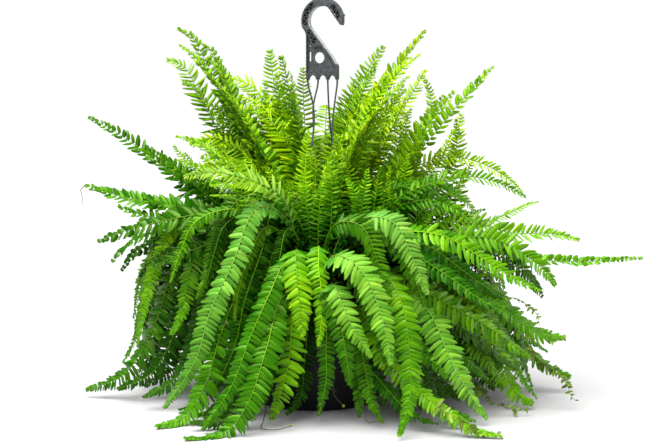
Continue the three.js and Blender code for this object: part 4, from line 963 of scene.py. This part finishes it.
def leaflet_tones(rng, frond, tone, fresh, t, roots):
    """Painted shade, darker low down and deep in the plant; fresher at the tip, and each a little different.
    """
    height = roots[:, 2:]
    out = np.hypot(*roots[:, :2].T)[:, None]
    outside = np.maximum(smooth(between(out, *DEPTHS)), smooth(between(height, *OPEN_HEIGHTS)))
    # Painted shade: darker low down, and deeper in the plant where it is not open above
    shade = mix(*PAINTED_SHADE_BY_HEIGHT, smooth(mix(-0.25, 1, height / TOP_HEIGHT)))
    if frond["tone"] in FRESH_TONES:
        shade = shade**0.5
    darkness = frond.get("shade", 1) * share_for(frond["name"], SHADES)
    shade = shade * mix(*PAINTED_SHADE_BY_DEPTH, outside) * darkness
    shade = (shade * (1 + rng.normal(0, LEAFLET_VARIATION, (len(t), 1)))) ** SHADE_BY_CHANNEL
    young = fresh + FRESH_TIP * t[:, None] ** 2 + np.clip(rng.normal(0, 0.06, (len(t), 1)), 0, 1)
    return mix(tone * shade, linear(TONES["lime"]) * shade, young)


def blade_sizes(frond, upright):
    """Half width of the blade, pitch of the leaflets, and how slender they are."""
    half = mix(*BLADE_WIDTH, upright) * frond["half"] * share_for(frond["name"], BLADE_SHARES)
    pitch = mix(*LEAFLET_PITCH, upright) * (frond["half"] / USUAL_HALF) ** 0.5
    slender = mix(*SLENDER_BY_HEIGHT, upright)
    if frond["name"].startswith(COARSE_PLACES):
        half, pitch = half * COARSE_SHARE, pitch * COARSE_SHARE
    if frond["name"].startswith(FINE_PLACES):
        pitch *= FINE_PITCH
    if frond["name"].startswith(OVAL_PLACES):
        half, pitch, slender = half * OVAL_LENGTH, OVAL_PITCH, slender * OVAL_WIDTH
    return half, pitch, slender


def add_frond(body, rng, outline, frond, place, is_first):
    """A whole frond: the stem and rib as one tube, and a row of leaflets on each side."""
    bottom = [*place[:2], CROWN_BOTTOM if is_first else CROWN_BOTTOM + 2]
    top = [*place[:2], CROWN_TOP if is_first else CROWN_TOP - 1]
    line = smooth_curve([bottom, top, *frond["via"]], RIB_STEP)
    sways = np.radians(rng.normal(0, SWAY, 2))
    phase = rng.random() * 6
    frames = frond_frames(
        line, frond["roll"], lambda s: sways[0] * np.sin(5 * s + phase) + sways[1] * np.sin(13 * s)
    )
    share = np.linspace(0, 1, len(line))[:, None]
    tone = linear(TONES[frond["tone"]]) * np.clip(1 + rng.normal(0, FROND_VARIATION), *FROND_TONES)
    rib_tone = mix(linear(STEM_TONE), linear(RIB_TONE), smooth(share / STEM_FADE))
    rib_tone = mix(rib_tone, tone, RIB_GREEN * smooth((share - BARE_STEM) / RIB_FADE))
    points, faces = tube(line, *frames[1:], mix(*RIB_WIDTH, share) / 2, mix(*RIB_DEPTH, share) / 2)
    body.add(points, faces, np.repeat(rib_tone, RIB_SIDES, axis=0), PLAIN_MARKS)

    blade = (1 - BARE_STEM) * length_of(line)
    fresh = FRESHEST * rng.random() ** 2
    upright = smooth(tip_height(frond) / SLENDER_HEIGHT)
    half, pitch, slender = blade_sizes(frond, upright)
    stops = [0.0]
    while stops[-1] < LAST_LEAFLET:
        stops.append(stops[-1] + pitch * (1 - TIP_PITCH * stops[-1] ** 2.5) / blade)
    for side in (-1, 1):
        t = np.clip(np.array(stops) + (0.25 * side + 0.25) * pitch / blade, 0, 0.99)
        roots, ways = rib_stops(line, frames, BARE_STEM + (1 - BARE_STEM) * t)
        size = half * leaflet_share(t) * (1 + rng.normal(0, HALF_VARIATION, len(t)))
        tones = leaflet_tones(rng, frond, tone, fresh, t, roots)
        width = LEAFLET_WIDTH * pitch / 2 * (slender * (1 - TIP_NARROWING * t**2.5))
        sweep = mix(*ROOT_SWEEP, smooth(t / 0.3)) * slender + UPRIGHT_SWEEP * upright + TIP_SWEEP * t**4
        lift, fold = frond["lift"] + MORE_LIFT, mix(*LEAFLET_FOLD, upright)
        add_leaflets(body, rng, outline, roots, ways, side, size, width, sweep, lift, fold, tones)


def make_fronds(material):
    fronds = list_fronds()
    places = place_crowns(fronds)
    add_young_fronds(fronds, places)
    add_companions(fronds)
    add_flank_fronds(fronds)
    bodies = {name: Body() for name in places}
    for i, frond in enumerate(fronds):
        crown = frond["shares"] or frond["name"]
        rng = np.random.default_rng(SEED + i)
        is_detailed = i < len(FRONDS) or frond["name"].startswith("flank_")
        outline = LEAFLET_OUTLINE if is_detailed else SIMPLE_OUTLINE
        add_frond(bodies[crown], rng, outline, frond, places[crown], not frond["shares"])
    for frond in fronds:
        if not frond["shares"]:
            name, tone = frond["name"], frond["tone"]
            piece = bodies[name].build(f"fine_frond_{name}", material)
            finish_piece(piece, "leaf" if tone == "leaf" else f"leaf_{tone}", f"frond_{name}")


# Turned shapes


def wall_radius(z):
    rise = np.clip(z / POT_HEIGHT, 0, 1)
    return FOOT_RADIUS + (WALL_TOP_RADIUS - FOOT_RADIUS) * (1 - (1 - rise) ** WALL_SWELL)


def lathe(profile, steps):
    """Points and faces of a closed body turned about the pot's axis; the profile starts and ends on it."""
    profile = np.array(profile, float)
    ring = profile[1:-1]
    turns = np.linspace(0, 2 * math.pi, steps, endpoint=False)
    across, heights = ring[:, :1], np.repeat(ring[:, 1:], steps, 1)
    points = np.stack([across * np.cos(turns), across * np.sin(turns), heights], -1).reshape(-1, 3)
    first, last = len(points), len(points) + 1
    points = np.vstack([points, [0, 0, profile[0, 1]], [0, 0, profile[-1, 1]]])
    k = np.arange(steps)
    following = (k + 1) % steps
    end = (len(ring) - 1) * steps
    bottom = np.stack([np.full(steps, first), following, k], -1)
    top = np.stack([np.full(steps, last), end + k, end + following], -1)
    return points, [ring_walls(len(ring), steps), bottom, top]


def arc(centre, radius, start, end, steps=5):
    turns = np.radians(np.linspace(start, end, steps))
    return [(centre[0] + radius * math.cos(a), centre[1] + radius * math.sin(a)) for a in turns]


# Moulded parts


def solid(name, bm):
    """An object from a bmesh in millimetres."""
    bmesh.ops.scale(bm, vec=(MM, MM, MM), verts=bm.verts)
    mesh = bpy.data.meshes.new(name)
    bm.to_mesh(mesh)
    bm.free()
    return linked(name, mesh)


def block(size, middle, turn=0, rounding=0.0):
    """A block, its edges rounded, turned about +Z by an angle in degrees."""
    bm = bmesh.new()
    bmesh.ops.create_cube(bm, size=1)
    bmesh.ops.scale(bm, vec=size, verts=bm.verts)
    if rounding:
        bmesh.ops.bevel(bm, geom=bm.edges[:], offset=rounding, segments=2, profile=0.5, affect="EDGES")
    bmesh.ops.rotate(bm, matrix=Matrix.Rotation(math.radians(turn), 3, "Z"), verts=bm.verts)
    bmesh.ops.translate(bm, vec=middle, verts=bm.verts)
    return solid("block", bm)


def prism(outline, low, high, place):
    """A closed prism over a flat outline; place turns across, up and depth into a place."""
    bm = bmesh.new()
    ends = [[bm.verts.new(place(u, v, w)) for u, v in outline] for w in (low, high)]
    bm.faces.new(ends[0])
    bm.faces.new(ends[1][::-1])
    for i in range(len(outline)):
        j = (i + 1) % len(outline)
        bm.faces.new((ends[0][j], ends[0][i], ends[1][i], ends[1][j]))
    bmesh.ops.recalc_face_normals(bm, faces=bm.faces)
    return solid("prism", bm)


def joined(name, pieces):
    """One object from the meshes of several, which are removed."""
    bm = bmesh.new()
    for piece in pieces:
        bm.from_mesh(piece.data)
        bpy.data.objects.remove(piece)
    bmesh.ops.scale(bm, vec=(1 / MM, 1 / MM, 1 / MM), verts=bm.verts)
    return solid(name, bm)


def carved(body, added, cut):
    """The body with solids added to it and cut from it."""
    for kind, others in (("UNION", added), ("DIFFERENCE", cut)):
        for other in others:
            step = body.modifiers.new(kind, "BOOLEAN")
            step.operation, step.solver, step.object = kind, "EXACT", other
    shaped = body.evaluated_get(bpy.context.evaluated_depsgraph_get())
    mesh = bpy.data.meshes.new_from_object(shaped)
    body.modifiers.clear()
    body.data = mesh
    for other in (*added, *cut):
        bpy.data.objects.remove(other)
    return body


def dressed(piece, *materials):
    piece.data.materials.clear()
    for material in materials:
        piece.data.materials.append(material)
    soften(piece.data, MOULDED_SHARP)
    return piece


# Hanger


def on_plate(u, v, w):
    """A place in the hanger's plate: across, up and back from the middle of the hook's loop."""
    turn = math.radians(PLATE_TURN)
    x, y, z = PLATE_CENTRE
    return (x + u * math.cos(turn) - w * math.sin(turn), y + u * math.sin(turn) + w * math.cos(turn), z + v)


def loop_arc(radius, start, end, steps):
    return arc((0, 0), radius, start, end, steps)


def hanger_outline():
    """The hanger's edge, from the prongs up its right side, around the hook and down its left side."""
    neck = PRONG_WIDTH / 2
    outline = [(PLATE_LEFT, PLATE_BOTTOM)]
    for left, right in zip(PRONG_STARTS, PRONG_STARTS[1:]):
        outline += arc(((left + right) / 2, PLATE_BOTTOM), (right - left) / 2 - neck, 180, 0, 13)
    outline += [(PLATE_RIGHT, PLATE_BOTTOM), (PLATE_RIGHT, -66), FLANGE_LINE[1], (15.5, -52), FLANGE_LINE[0]]
    outline += loop_arc(HOOK_INNER_RADIUS, 208, 62, 30)
    outline += [(27.4, -4.6), (29.2, -6.9), (31.4, -7.2)]
    outline += loop_arc(HOOK_OUTER_RADIUS, -8, 8, 4)
    outline += [(33.6, 8.4), (31.6, 9.2)]
    outline += loop_arc(HOOK_OUTER_RADIUS, 17, 66, 12)
    outline += [(12.2, 42), (11, 43), (-11, 43), (-12.2, 42)]
    outline += loop_arc(HOOK_OUTER_RADIUS, 114, 197, 18)
    return [*outline, (-27.5, -14), (PLATE_LEFT, -20)]


def slab(outlines, half, rounding):
    """A flat plate with rounded edges; the outlines after the first are its holes."""
    curve = bpy.data.curves.new("plate", "CURVE")
    curve.dimensions, curve.fill_mode = "2D", "BOTH"
    for outline in outlines:
        line = curve.splines.new("POLY")
        line.points.add(len(outline) - 1)
        line.points.foreach_set("co", np.array([(u, v, 0, 1) for u, v in outline], float).ravel())
        line.use_cyclic_u = True
    curve.extrude, curve.bevel_depth = half - rounding, rounding
    curve.offset, curve.bevel_resolution = -rounding, 2
    flat = linked("plate", curve)
    mesh = flat.evaluated_get(bpy.context.evaluated_depsgraph_get()).to_mesh()
    bm = bmesh.new()
    bm.from_mesh(mesh)
    bpy.data.objects.remove(flat)
    bmesh.ops.remove_doubles(bm, verts=bm.verts, dist=0.01)
    for vert in bm.verts:
        vert.co = on_plate(*vert.co)
    bmesh.ops.recalc_face_normals(bm, faces=bm.faces)
    return solid("plate", bm)


def zigzag_pockets(inner, outer, count):
    """Triangles between zigzag ribs, in a band between two lines."""
    rails = [resample(np.array([(*p, 0) for p in rail], float), count)[:, :2] for rail in (inner, outer)]
    zigzag = [rails[k % 2][k] for k in range(count + 1)]
    pockets = []
    for corners in zip(zigzag, zigzag[1:], zigzag[2:]):
        sides = [math.dist(corners[(k + 1) % 3], corners[(k + 2) % 3]) for k in range(3)]
        middle = sum(side * corner for side, corner in zip(sides, corners)) / sum(sides)
        (ax, ay), (bx, by) = corners[1] - corners[0], corners[2] - corners[0]
        inradius = abs(ax * by - ay * bx) / sum(sides)
        shrink = max(0.3, 1 - POCKET_RIB / inradius)
        pockets.append([middle + (corner - middle) * shrink for corner in corners])
    return pockets


def hanger_pockets_painted_shade():
    """The pockets on the left and the right of the hook's loop, and down its neck."""
    inner, outer = HOOK_INNER_RADIUS + POCKET_MARGIN, HOOK_OUTER_RADIUS - POCKET_MARGIN
    return [
        *zigzag_pockets(loop_arc(inner, 200, 116, 20), loop_arc(outer, 200, 116, 20), 9),
        *zigzag_pockets(TIP_POCKET_LINE, loop_arc(outer, 66, 8, 16), 6),
        *zigzag_pockets(*NECK_POCKET_LINES, 7),
    ]


def within(point, corners):
    """Whether a point lies in a triangle."""
    u, v = point
    following = [*corners[1:], corners[0]]
    turns = [(b[0] - a[0]) * (v - a[1]) - (b[1] - a[1]) * (u - a[0]) for a, b in zip(corners, following)]
    return min(turns) > 0 or max(turns) < 0


def paint_hanger(piece, pockets):
    """Painted light on the inner side face of the hook, pale as if lit, and painted shade on the floors of
    the pockets.
    """
    across, back = [np.array(on_plate(*step)) - PLATE_CENTRE for step in ((1, 0, 0), (0, 0, 1))]
    (start_u, start_v), (end_u, end_v) = FLANGE_LINE
    slope = (end_u - start_u) / (end_v - start_v)
    for face in piece.data.polygons:
        place = np.array(face.center) / MM - PLATE_CENTRE
        u, v, depth = place @ across, place[2], place @ back
        outwards, sideways = np.array(face.normal) @ back, np.array(face.normal) @ across
        if abs(outwards) < 0.6 and sideways > 0.15:
            on_ring = v > start_v and math.hypot(u, v) < HOOK_INNER_RADIUS + 0.8
            on_line = end_v < v < start_v and abs(u - start_u - slope * (v - start_v)) < 1.5
            if on_ring or on_line:
                # Painted light: the inner side face of the hook, pale as if lit
                face.material_index = 1
        elif abs(outwards) > 0.9 and abs(depth) < PLATE_THICKNESS / 2 - 1 and v > PLATE_BOTTOM:
            if any(within((u, v), corners) for corners in pockets):
                # Painted shade: the floors of the pockets, near black
                face.material_index = 2


def prong_line(i):
    """The way of a prong, from inside the plate to below its lug."""
    starts = [on_plate(PRONG_STARTS[i], PLATE_BOTTOM + up, 0) for up in (5, -6)]
    ends = [on_circle(LUG_HOLE_CIRCLE, LUG_ANGLES[i], z) for z in (LUG_TOP + 14, LUG_BOTTOM - 3)]
    return smooth_curve([*starts, *PRONG_ROUTES[i], *ends], 4)


def make_hanger(plastic, painted_flange_light, shadow):
    half = PLATE_THICKNESS / 2
    holes = [arc(*ROUND_HOLE, 0, 352, 45), arc(*TINY_HOLE, 0, 330, 12), SLOT]
    plate = slab([hanger_outline(), *holes], half, PLATE_EDGE)
    pockets = hanger_pockets_painted_shade()
    cutters = []
    for outline in (*pockets, RECESS):
        cutters.append(prism(outline, half - POCKET_DEPTH, half + 1, on_plate))
        cutters.append(prism(outline, -half - 1, POCKET_DEPTH - half, on_plate))
    parts = [carved(plate, [], [joined("cutters", cutters)])]
    prongs = Body()
    for i, angle in enumerate(LUG_ANGLES):
        line = prong_line(i)
        size = PRONG_WIDTH / 2 * (1 + PRONG_SWELL * np.exp(-np.arange(len(line)) / PRONG_SWELL_STEPS))
        add_round_tube(prongs, line, (0, 1, 0), size, PRONG_SIDES, (0, 0, 0), (0, 0, 0, 0))
        collar = on_circle(LUG_HOLE_CIRCLE, angle, LUG_TOP + COLLAR_RISE)
        head = on_circle(LUG_HOLE_CIRCLE, angle, LUG_BOTTOM - PRONG_HEAD_DROP)
        parts += [block(COLLAR, collar, angle, COLLAR_EDGE), block(PRONG_HEAD, head, angle, BLOCK_EDGE)]
    parts.append(prongs.build("prongs", plastic))
    piece = dressed(joined("fine_hanger", parts), plastic, painted_flange_light, shadow)
    paint_hanger(piece, pockets)
    finish_piece(piece, "hanger", "hanger")


# Pot and soil


def pot_profile():
    """The pot's half section, from its middle outside, over the lip, to its middle inside."""
    lip_bottom, undercut = POT_HEIGHT - LIP_HEIGHT, LIP_UNDERCUT
    low, high, inside_edge = LIP_ROUNDINGS
    foot = (wall_radius(FOOT_ROUNDING) - FOOT_ROUNDING, FOOT_ROUNDING)
    inner = wall_radius(POT_HEIGHT) - WALL_THICKNESS
    return [
        (0, 0),
        *arc(foot, FOOT_ROUNDING, -90, 0, 8),
        *((wall_radius(z), z) for z in np.linspace(FOOT_ROUNDING, lip_bottom - undercut, 26)),
        *arc((wall_radius(lip_bottom) + undercut, lip_bottom - undercut), undercut, 180, 90, 4)[1:-1],
        *arc((LIP_RADIUS - low, lip_bottom + low), low, -90, 0, 4),
        *arc((LIP_RADIUS - high, POT_HEIGHT - high), high, 0, 90, 5),
        *arc((inner + inside_edge, POT_HEIGHT - inside_edge), inside_edge, 90, 180, 5),
        *((wall_radius(z) - WALL_THICKNESS, z) for z in np.linspace(POT_HEIGHT - 4, FOOT_ROUNDING, 20)),
        (foot[0] - 1, WALL_THICKNESS),
        (0, WALL_THICKNESS),
    ]


def make_pot(material):
    body = Body()
    body.add(*lathe(pot_profile(), POT_STEPS), (0, 0, 0))
    lugs, cuts = [], []
    middle = (LUG_BOTTOM + LUG_TOP) / 2
    for angle in LUG_ANGLES:
        lugs.append(block(LUG_SIZE, on_circle(LUG_CIRCLE, angle, middle), angle, BLOCK_EDGE))
        hole = (LUG_HOLE, LUG_HOLE, 2 * LUG_SIZE[2])
        cuts.append(block(hole, on_circle(LUG_HOLE_CIRCLE, angle, middle), angle))
    for i in range(DRAIN_HOLES):
        x, y, _ = on_circle(DRAIN_CIRCLE, (i + 0.5) * 360 / DRAIN_HOLES, 0)
        hole = [(x + u, y + v) for u, v in arc((0, 0), DRAIN_RADIUS, 0, 345, 24)]
        cuts.append(prism(hole, -2, 2 * WALL_THICKNESS, lambda u, v, w: (u, v, w)))
    pot = carved(body.build("fine_pot", material), lugs, cuts)
    finish_piece(dressed(pot, material), "pot", "pot")


def crumb_shape():
    """A small round body: points of radius one, and faces."""
    bm = bmesh.new()
    bmesh.ops.create_icosphere(bm, subdivisions=1, radius=1)
    points = np.array([vert.co for vert in bm.verts])
    faces = np.array([[vert.index for vert in face.verts] for face in bm.faces])
    bm.free()
    return points, [faces]


def make_soil(material):
    """The soil, lumpy on top, with crumbs and perlite on it."""
    rng = np.random.default_rng(SEED)
    inner = wall_radius(SOIL_EDGE_HEIGHT) - WALL_THICKNESS - SOIL_GAP

    def soil_height(out):
        return mix(SOIL_MIDDLE_HEIGHT, SOIL_EDGE_HEIGHT, (out / inner) ** 2)

    surface = [(r, soil_height(r) - 2) for r in np.linspace(inner, 3, 40)]
    heights = np.linspace(10, SOIL_EDGE_HEIGHT - 4, 12)
    wall = [(wall_radius(z) - WALL_THICKNESS - SOIL_GAP, z) for z in heights]
    bottom = WALL_THICKNESS + 0.3
    profile = [(0, bottom), (70, bottom), *wall, *surface, (0, SOIL_MIDDLE_HEIGHT - 2)]
    points, faces = lathe(profile, SOIL_STEPS)
    top = points[:, 2] > SOIL_EDGE_HEIGHT - 3
    lumps = rng.normal(0, LUMP_SIZE, len(points))
    points[top, 2] += np.clip(lumps[top], *LUMP_LIMITS)
    body = Body()
    body.add(points, faces, SOIL_TONE)
    crumb, crumb_faces = crumb_shape()
    for _ in range(SOIL_CRUMBS):
        out, turn = inner * math.sqrt(rng.random()) * 0.97, rng.uniform(0, 2 * math.pi)
        place = (out * math.cos(turn), out * math.sin(turn), soil_height(out) - CRUMB_DEPTH)
        size = rng.uniform(*CRUMB_SIZE) * rng.uniform(*CRUMB_SHAPES, 3)
        lumpy = crumb * size * rng.uniform(0.8, 1.2, (len(crumb), 1))
        is_perlite = rng.random() < PERLITE_SHARE
        tone = PERLITE_TONE if is_perlite else rng.uniform(*CRUMB_TONES) * np.array(CRUMB_TONE)
        body.add(lumpy + place, crumb_faces, tone)
    finish_piece(body.build("fine_soil", material), "soil", "soil")


# Runners, croziers and ragged tips


def make_runners(material):
    """Thin runners from the soil over the rim, some with a bud, and dry threads at the tips of fronds."""
    rng = np.random.default_rng(SEED)
    body = Body()
    for tone, width, places in RUNNERS:
        line = smooth_curve(places, RUNNER_STEP)
        taper = np.linspace(1, 0.5, len(line))
        size = width / 2 * taper * (1 + rng.normal(0, RUNNER_VARIATION, len(line)))
        add_round_tube(body, line, (0.1, 0.3, 1), size, RUNNER_SIDES, linear(tone))
    crumb, crumb_faces = crumb_shape()
    for place, size in BUDS:
        body.add(crumb * size + np.array(place), crumb_faces, linear(BUD_TONE), PLAIN_MARKS)
    finish_piece(body.build("fine_runners", material), "leaf_dark")


def make_croziers(material):
    """Young fronds with their tips still curled up, among the stems at the front."""
    body = Body()
    for foot, top, curl_size in CROZIERS:
        turns = np.linspace(0, CROZIER_TURNS * 2 * math.pi, CROZIER_PLACES)
        radii = curl_size * (1 - CROZIER_TIGHTENING * turns / turns[-1])
        x, y, z = top
        curl = [(x + curl_size - r * math.cos(a), y, z + r * math.sin(a)) for a, r in zip(turns, radii)]
        middle = mix(np.array((*foot, CROWN_TOP)), np.array(top), 0.5)
        line = smooth_curve([(*foot, CROWN_TOP - 6), middle, *curl], CROZIER_STEP)
        size = np.linspace(*CROZIER_THICKNESS, len(line))
        add_round_tube(body, line, (0.05, 1, 0.02), size, RUNNER_SIDES, linear(CROZIER_TONE))
    finish_piece(body.build("fine_croziers", material), "leaf_lime")


def make_ragged_tips(material):
    """Thin tips with small, uneven leaflets, some missing."""
    rng = np.random.default_rng(SEED)
    body = Body()
    for tone, half, places in RAGGED_TIPS:
        line = smooth_curve(places, 2)
        frames = frond_frames(line, None, lambda s: 0.5 * np.sin(4 * s))
        width = 0.7 - 0.4 * np.linspace(0, 1, len(line))
        body.add(*tube(line, *frames[1:], width, width), linear(tone), PLAIN_MARKS)
        stops = np.arange(0, length_of(line), RAGGED_PITCH) / length_of(line)
        for side in (-1, 1):
            t = np.clip(stops + rng.normal(0, 0.02, len(stops)), 0, 0.99)
            t = t[rng.random(len(stops)) < RAGGED_SHARE]
            roots, ways = rib_stops(line, frames, t)
            size = half * (1 - 0.5 * t) * rng.uniform(*RAGGED_SIZES, len(t))
            tones = linear(tone) * rng.uniform(*RAGGED_TONES, (len(t), 1))
            sweep, lift = rng.uniform(*RAGGED_SWEEP, len(t)), rng.uniform(*RAGGED_LIFT, len(t))
            width, fold = RAGGED_WIDTH * size, RAGGED_FOLD
            add_leaflets(body, rng, SIMPLE_OUTLINE, roots, ways, side, size, width, sweep, lift, fold, tones)
    finish_piece(body.build("fine_ragged_tips", material), "leaf")


# Materials


class Look:
    """A node material with one principled shader."""

    def __init__(self, name):
        self.material = bpy.data.materials.new(name)
        self.material.use_nodes = True
        self.tree = self.material.node_tree
        self.shader = self.tree.nodes["Principled BSDF"]

    def put(self, value, socket):
        """Joins another socket to this one, or gives it a number or a colour."""
        if isinstance(value, bpy.types.NodeSocket):
            self.tree.links.new(value, socket)
        elif isinstance(value, (int, float)):
            socket.default_value = value
        else:
            socket.default_value = (*value, 1)

    def set(self, **values):
        for name, value in values.items():
            self.put(value, self.shader.inputs[name.replace("_", " ")])

    def node(self, kind, **values):
        node = self.tree.nodes.new("ShaderNode" + kind)
        for name, value in values.items():
            if name in node.inputs.keys():
                self.put(value, node.inputs[name])
            else:
                setattr(node, name, value)
        return node

    def attribute(self, name):
        return self.node("Attribute", attribute_name=name).outputs

    def math(self, operation, *values):
        node = self.node("Math", operation=operation)
        for socket, value in zip(node.inputs, values):
            self.put(value, socket)
        return node.outputs[0]

    def blend(self, kind, share, a, b):
        """A mix of two colours; share, a and b are sockets or values."""
        node = self.node("Mix", data_type="RGBA", blend_type=kind)
        for index, value in ((0, share), (6, a), (7, b)):
            self.put(value, node.inputs[index])
        return node.outputs[2]

    def noise(self, scale, detail=3):
        where = self.node("TexCoord").outputs["Object"]
        return self.node("TexNoise", Scale=scale, Detail=detail, Roughness=0.55, Vector=where).outputs[0]

    def remap(self, value, low, high, to_low, to_high):
        node = self.node("MapRange")
        names = ("Value", "From Min", "From Max", "To Min", "To Max")
        for name, number in zip(names, (value, low, high, to_low, to_high)):
            self.put(number, node.inputs[name])
        return node.outputs[0]

    def bump(self, height, strength, distance):
        self.set(Normal=self.node("Bump", Strength=strength, Distance=distance, Height=height).outputs[0])


def leaf_look():
    """Leaflets in their own tone, which holds painted shade, with a paler midrib and underside, blotches and
    raised veins; the specular level follows the tone, so leaflets with painted shade reflect less.
    """
    look = Look("fern_leaf")
    marks = look.attribute("marks")
    along, across, _ = look.node("SeparateColor", Color=marks["Color"]).outputs
    tone = look.attribute("tone")["Color"]
    veins = look.math("PINGPONG", look.math("ADD", look.math("MULTIPLY", along, 9), across), 0.5)
    midrib = look.remap(across, 0.0, 0.22, 1, 0)
    blotches = look.remap(look.noise(90, 3), 0.3, 0.7, 0.0, 0.35)
    underside = look.remap(marks["Alpha"], 0.55, 0.9, 0, 0.8)
    colour = look.blend("MULTIPLY", look.math("MULTIPLY", midrib, 0.5), tone, (2.4, 1.7, 3.0))
    colour = look.blend("MULTIPLY", blotches, colour, (0.62, 0.74, 0.5))
    colour = look.blend("MULTIPLY", underside, colour, (1.7, 1.3, 3.0))
    look.set(
        Base_Color=colour,
        Roughness=look.remap(look.noise(60), 0.3, 0.7, 0.2, 0.34),
        Specular_IOR_Level=look.remap(tone, 0.01, 0.09, 0.16, 0.48),
        Specular_Tint=(0.65, 1.0, 0.18),
    )
    look.bump(look.math("ADD", veins, look.math("MULTIPLY", midrib, -0.8)), 0.35, 0.0006)
    return look.material


def pot_look():
    look = Look("black_pot_plastic")
    dust = look.noise(14, 4)
    dusty = look.remap(dust, 0.35, 0.8, 0, 0.3)
    look.set(
        Base_Color=look.blend("MIX", dusty, (0.0045, 0.005, 0.0048), (0.016, 0.017, 0.016)),
        Roughness=look.remap(dust, 0.3, 0.7, 0.42, 0.58),
        Specular_IOR_Level=0.25,
    )
    look.bump(look.noise(900, 2), 0.25, 0.0003)
    return look.material


def soil_look():
    look = Look("potting_soil")
    grains = look.noise(260, 4)
    tone = look.attribute("tone")["Color"]
    darkened = look.blend("MULTIPLY", look.remap(grains, 0.3, 0.7, 0, 1), tone, (0.3, 0.28, 0.25))
    look.set(Base_Color=darkened, Roughness=0.95)
    look.bump(grains, 0.8, 0.002)
    return look.material


def hanger_look(name, dark, light):
    look = Look(name)
    haze = look.noise(210, 5)
    look.set(
        Base_Color=look.blend("MIX", look.remap(haze, 0.38, 0.62, 0, 1), dark, light),
        Roughness=look.remap(haze, 0.3, 0.7, 0.42, 0.6),
    )
    look.bump(look.noise(1200, 2), 0.2, 0.0003)
    return look.material


def floor_look():
    look = Look("studio_floor")
    pale = look.blend("MIX", look.noise(2), (0.44, 0.44, 0.44), (0.455, 0.455, 0.455))
    look.set(Base_Color=pale, Roughness=0.9)
    return look.material


# Studio


def make_floor(material):
    bpy.ops.mesh.primitive_plane_add(size=FLOOR_SIZE, location=FLOOR_PLACE)
    floor = bpy.context.object
    floor.name = "studio_floor"
    floor.data.materials.append(material)


def make_room():
    """A world that is white to the camera and gives the room's light to everything else."""
    world = bpy.data.worlds.new("studio")
    bpy.context.scene.world = world
    world.use_nodes = True
    nodes, links = world.node_tree.nodes, world.node_tree.links
    seen = nodes.new("ShaderNodeLightPath").outputs["Is Camera Ray"]
    strength = nodes.new("ShaderNodeMapRange")
    links.new(seen, strength.inputs["Value"])
    strength.inputs["To Min"].default_value = ROOM_LIGHT
    strength.inputs["To Max"].default_value = 1.0
    colour, power = nodes["Background"].inputs[:2]
    links.new(strength.outputs[0], power)
    colour.default_value = (1, 1, 1, 1)


def make_lamps():
    for name, place, angle, strength in LAMPS:
        light = bpy.data.lights.new(name, "SUN")
        light.angle, light.energy = math.radians(angle), strength
        lamp = linked(name, light)
        lamp.location = place
        lamp.rotation_euler = (-Vector(place)).to_track_quat("-Z", "Y").to_euler()


def make_camera():
    camera = bpy.data.cameras.new("camera")
    camera.lens, camera.sensor_width = CAMERA_LENS, CAMERA_SENSOR
    holder = linked("camera", camera)
    holder.location = CAMERA_PLACE
    holder.rotation_euler = (math.radians(90 - CAMERA_DOWN), 0, 0)
    bpy.context.scene.camera = holder


frond_look = leaf_look()
make_fronds(frond_look)
make_pot(pot_look())
make_soil(soil_look())
make_hanger(
    hanger_look("hanger_plastic", (0.026, 0.031, 0.034), (0.066, 0.073, 0.077)),
    # Painted light: pale colours for the hook's inner side face, as if lit
    hanger_look("hanger_flange_painted_light", (0.3, 0.31, 0.29), (0.5, 0.51, 0.47)),
    # Painted shade: near black colours for the floors of the pockets
    hanger_look("hanger_pockets_painted_shade", (0.002, 0.002, 0.002), (0.008, 0.008, 0.008)),
)
make_runners(frond_look)
make_croziers(frond_look)
make_ragged_tips(frond_look)
make_floor(floor_look())
make_room()
make_lamps()
make_camera()
bpy.context.scene.view_settings.view_transform = "Standard"
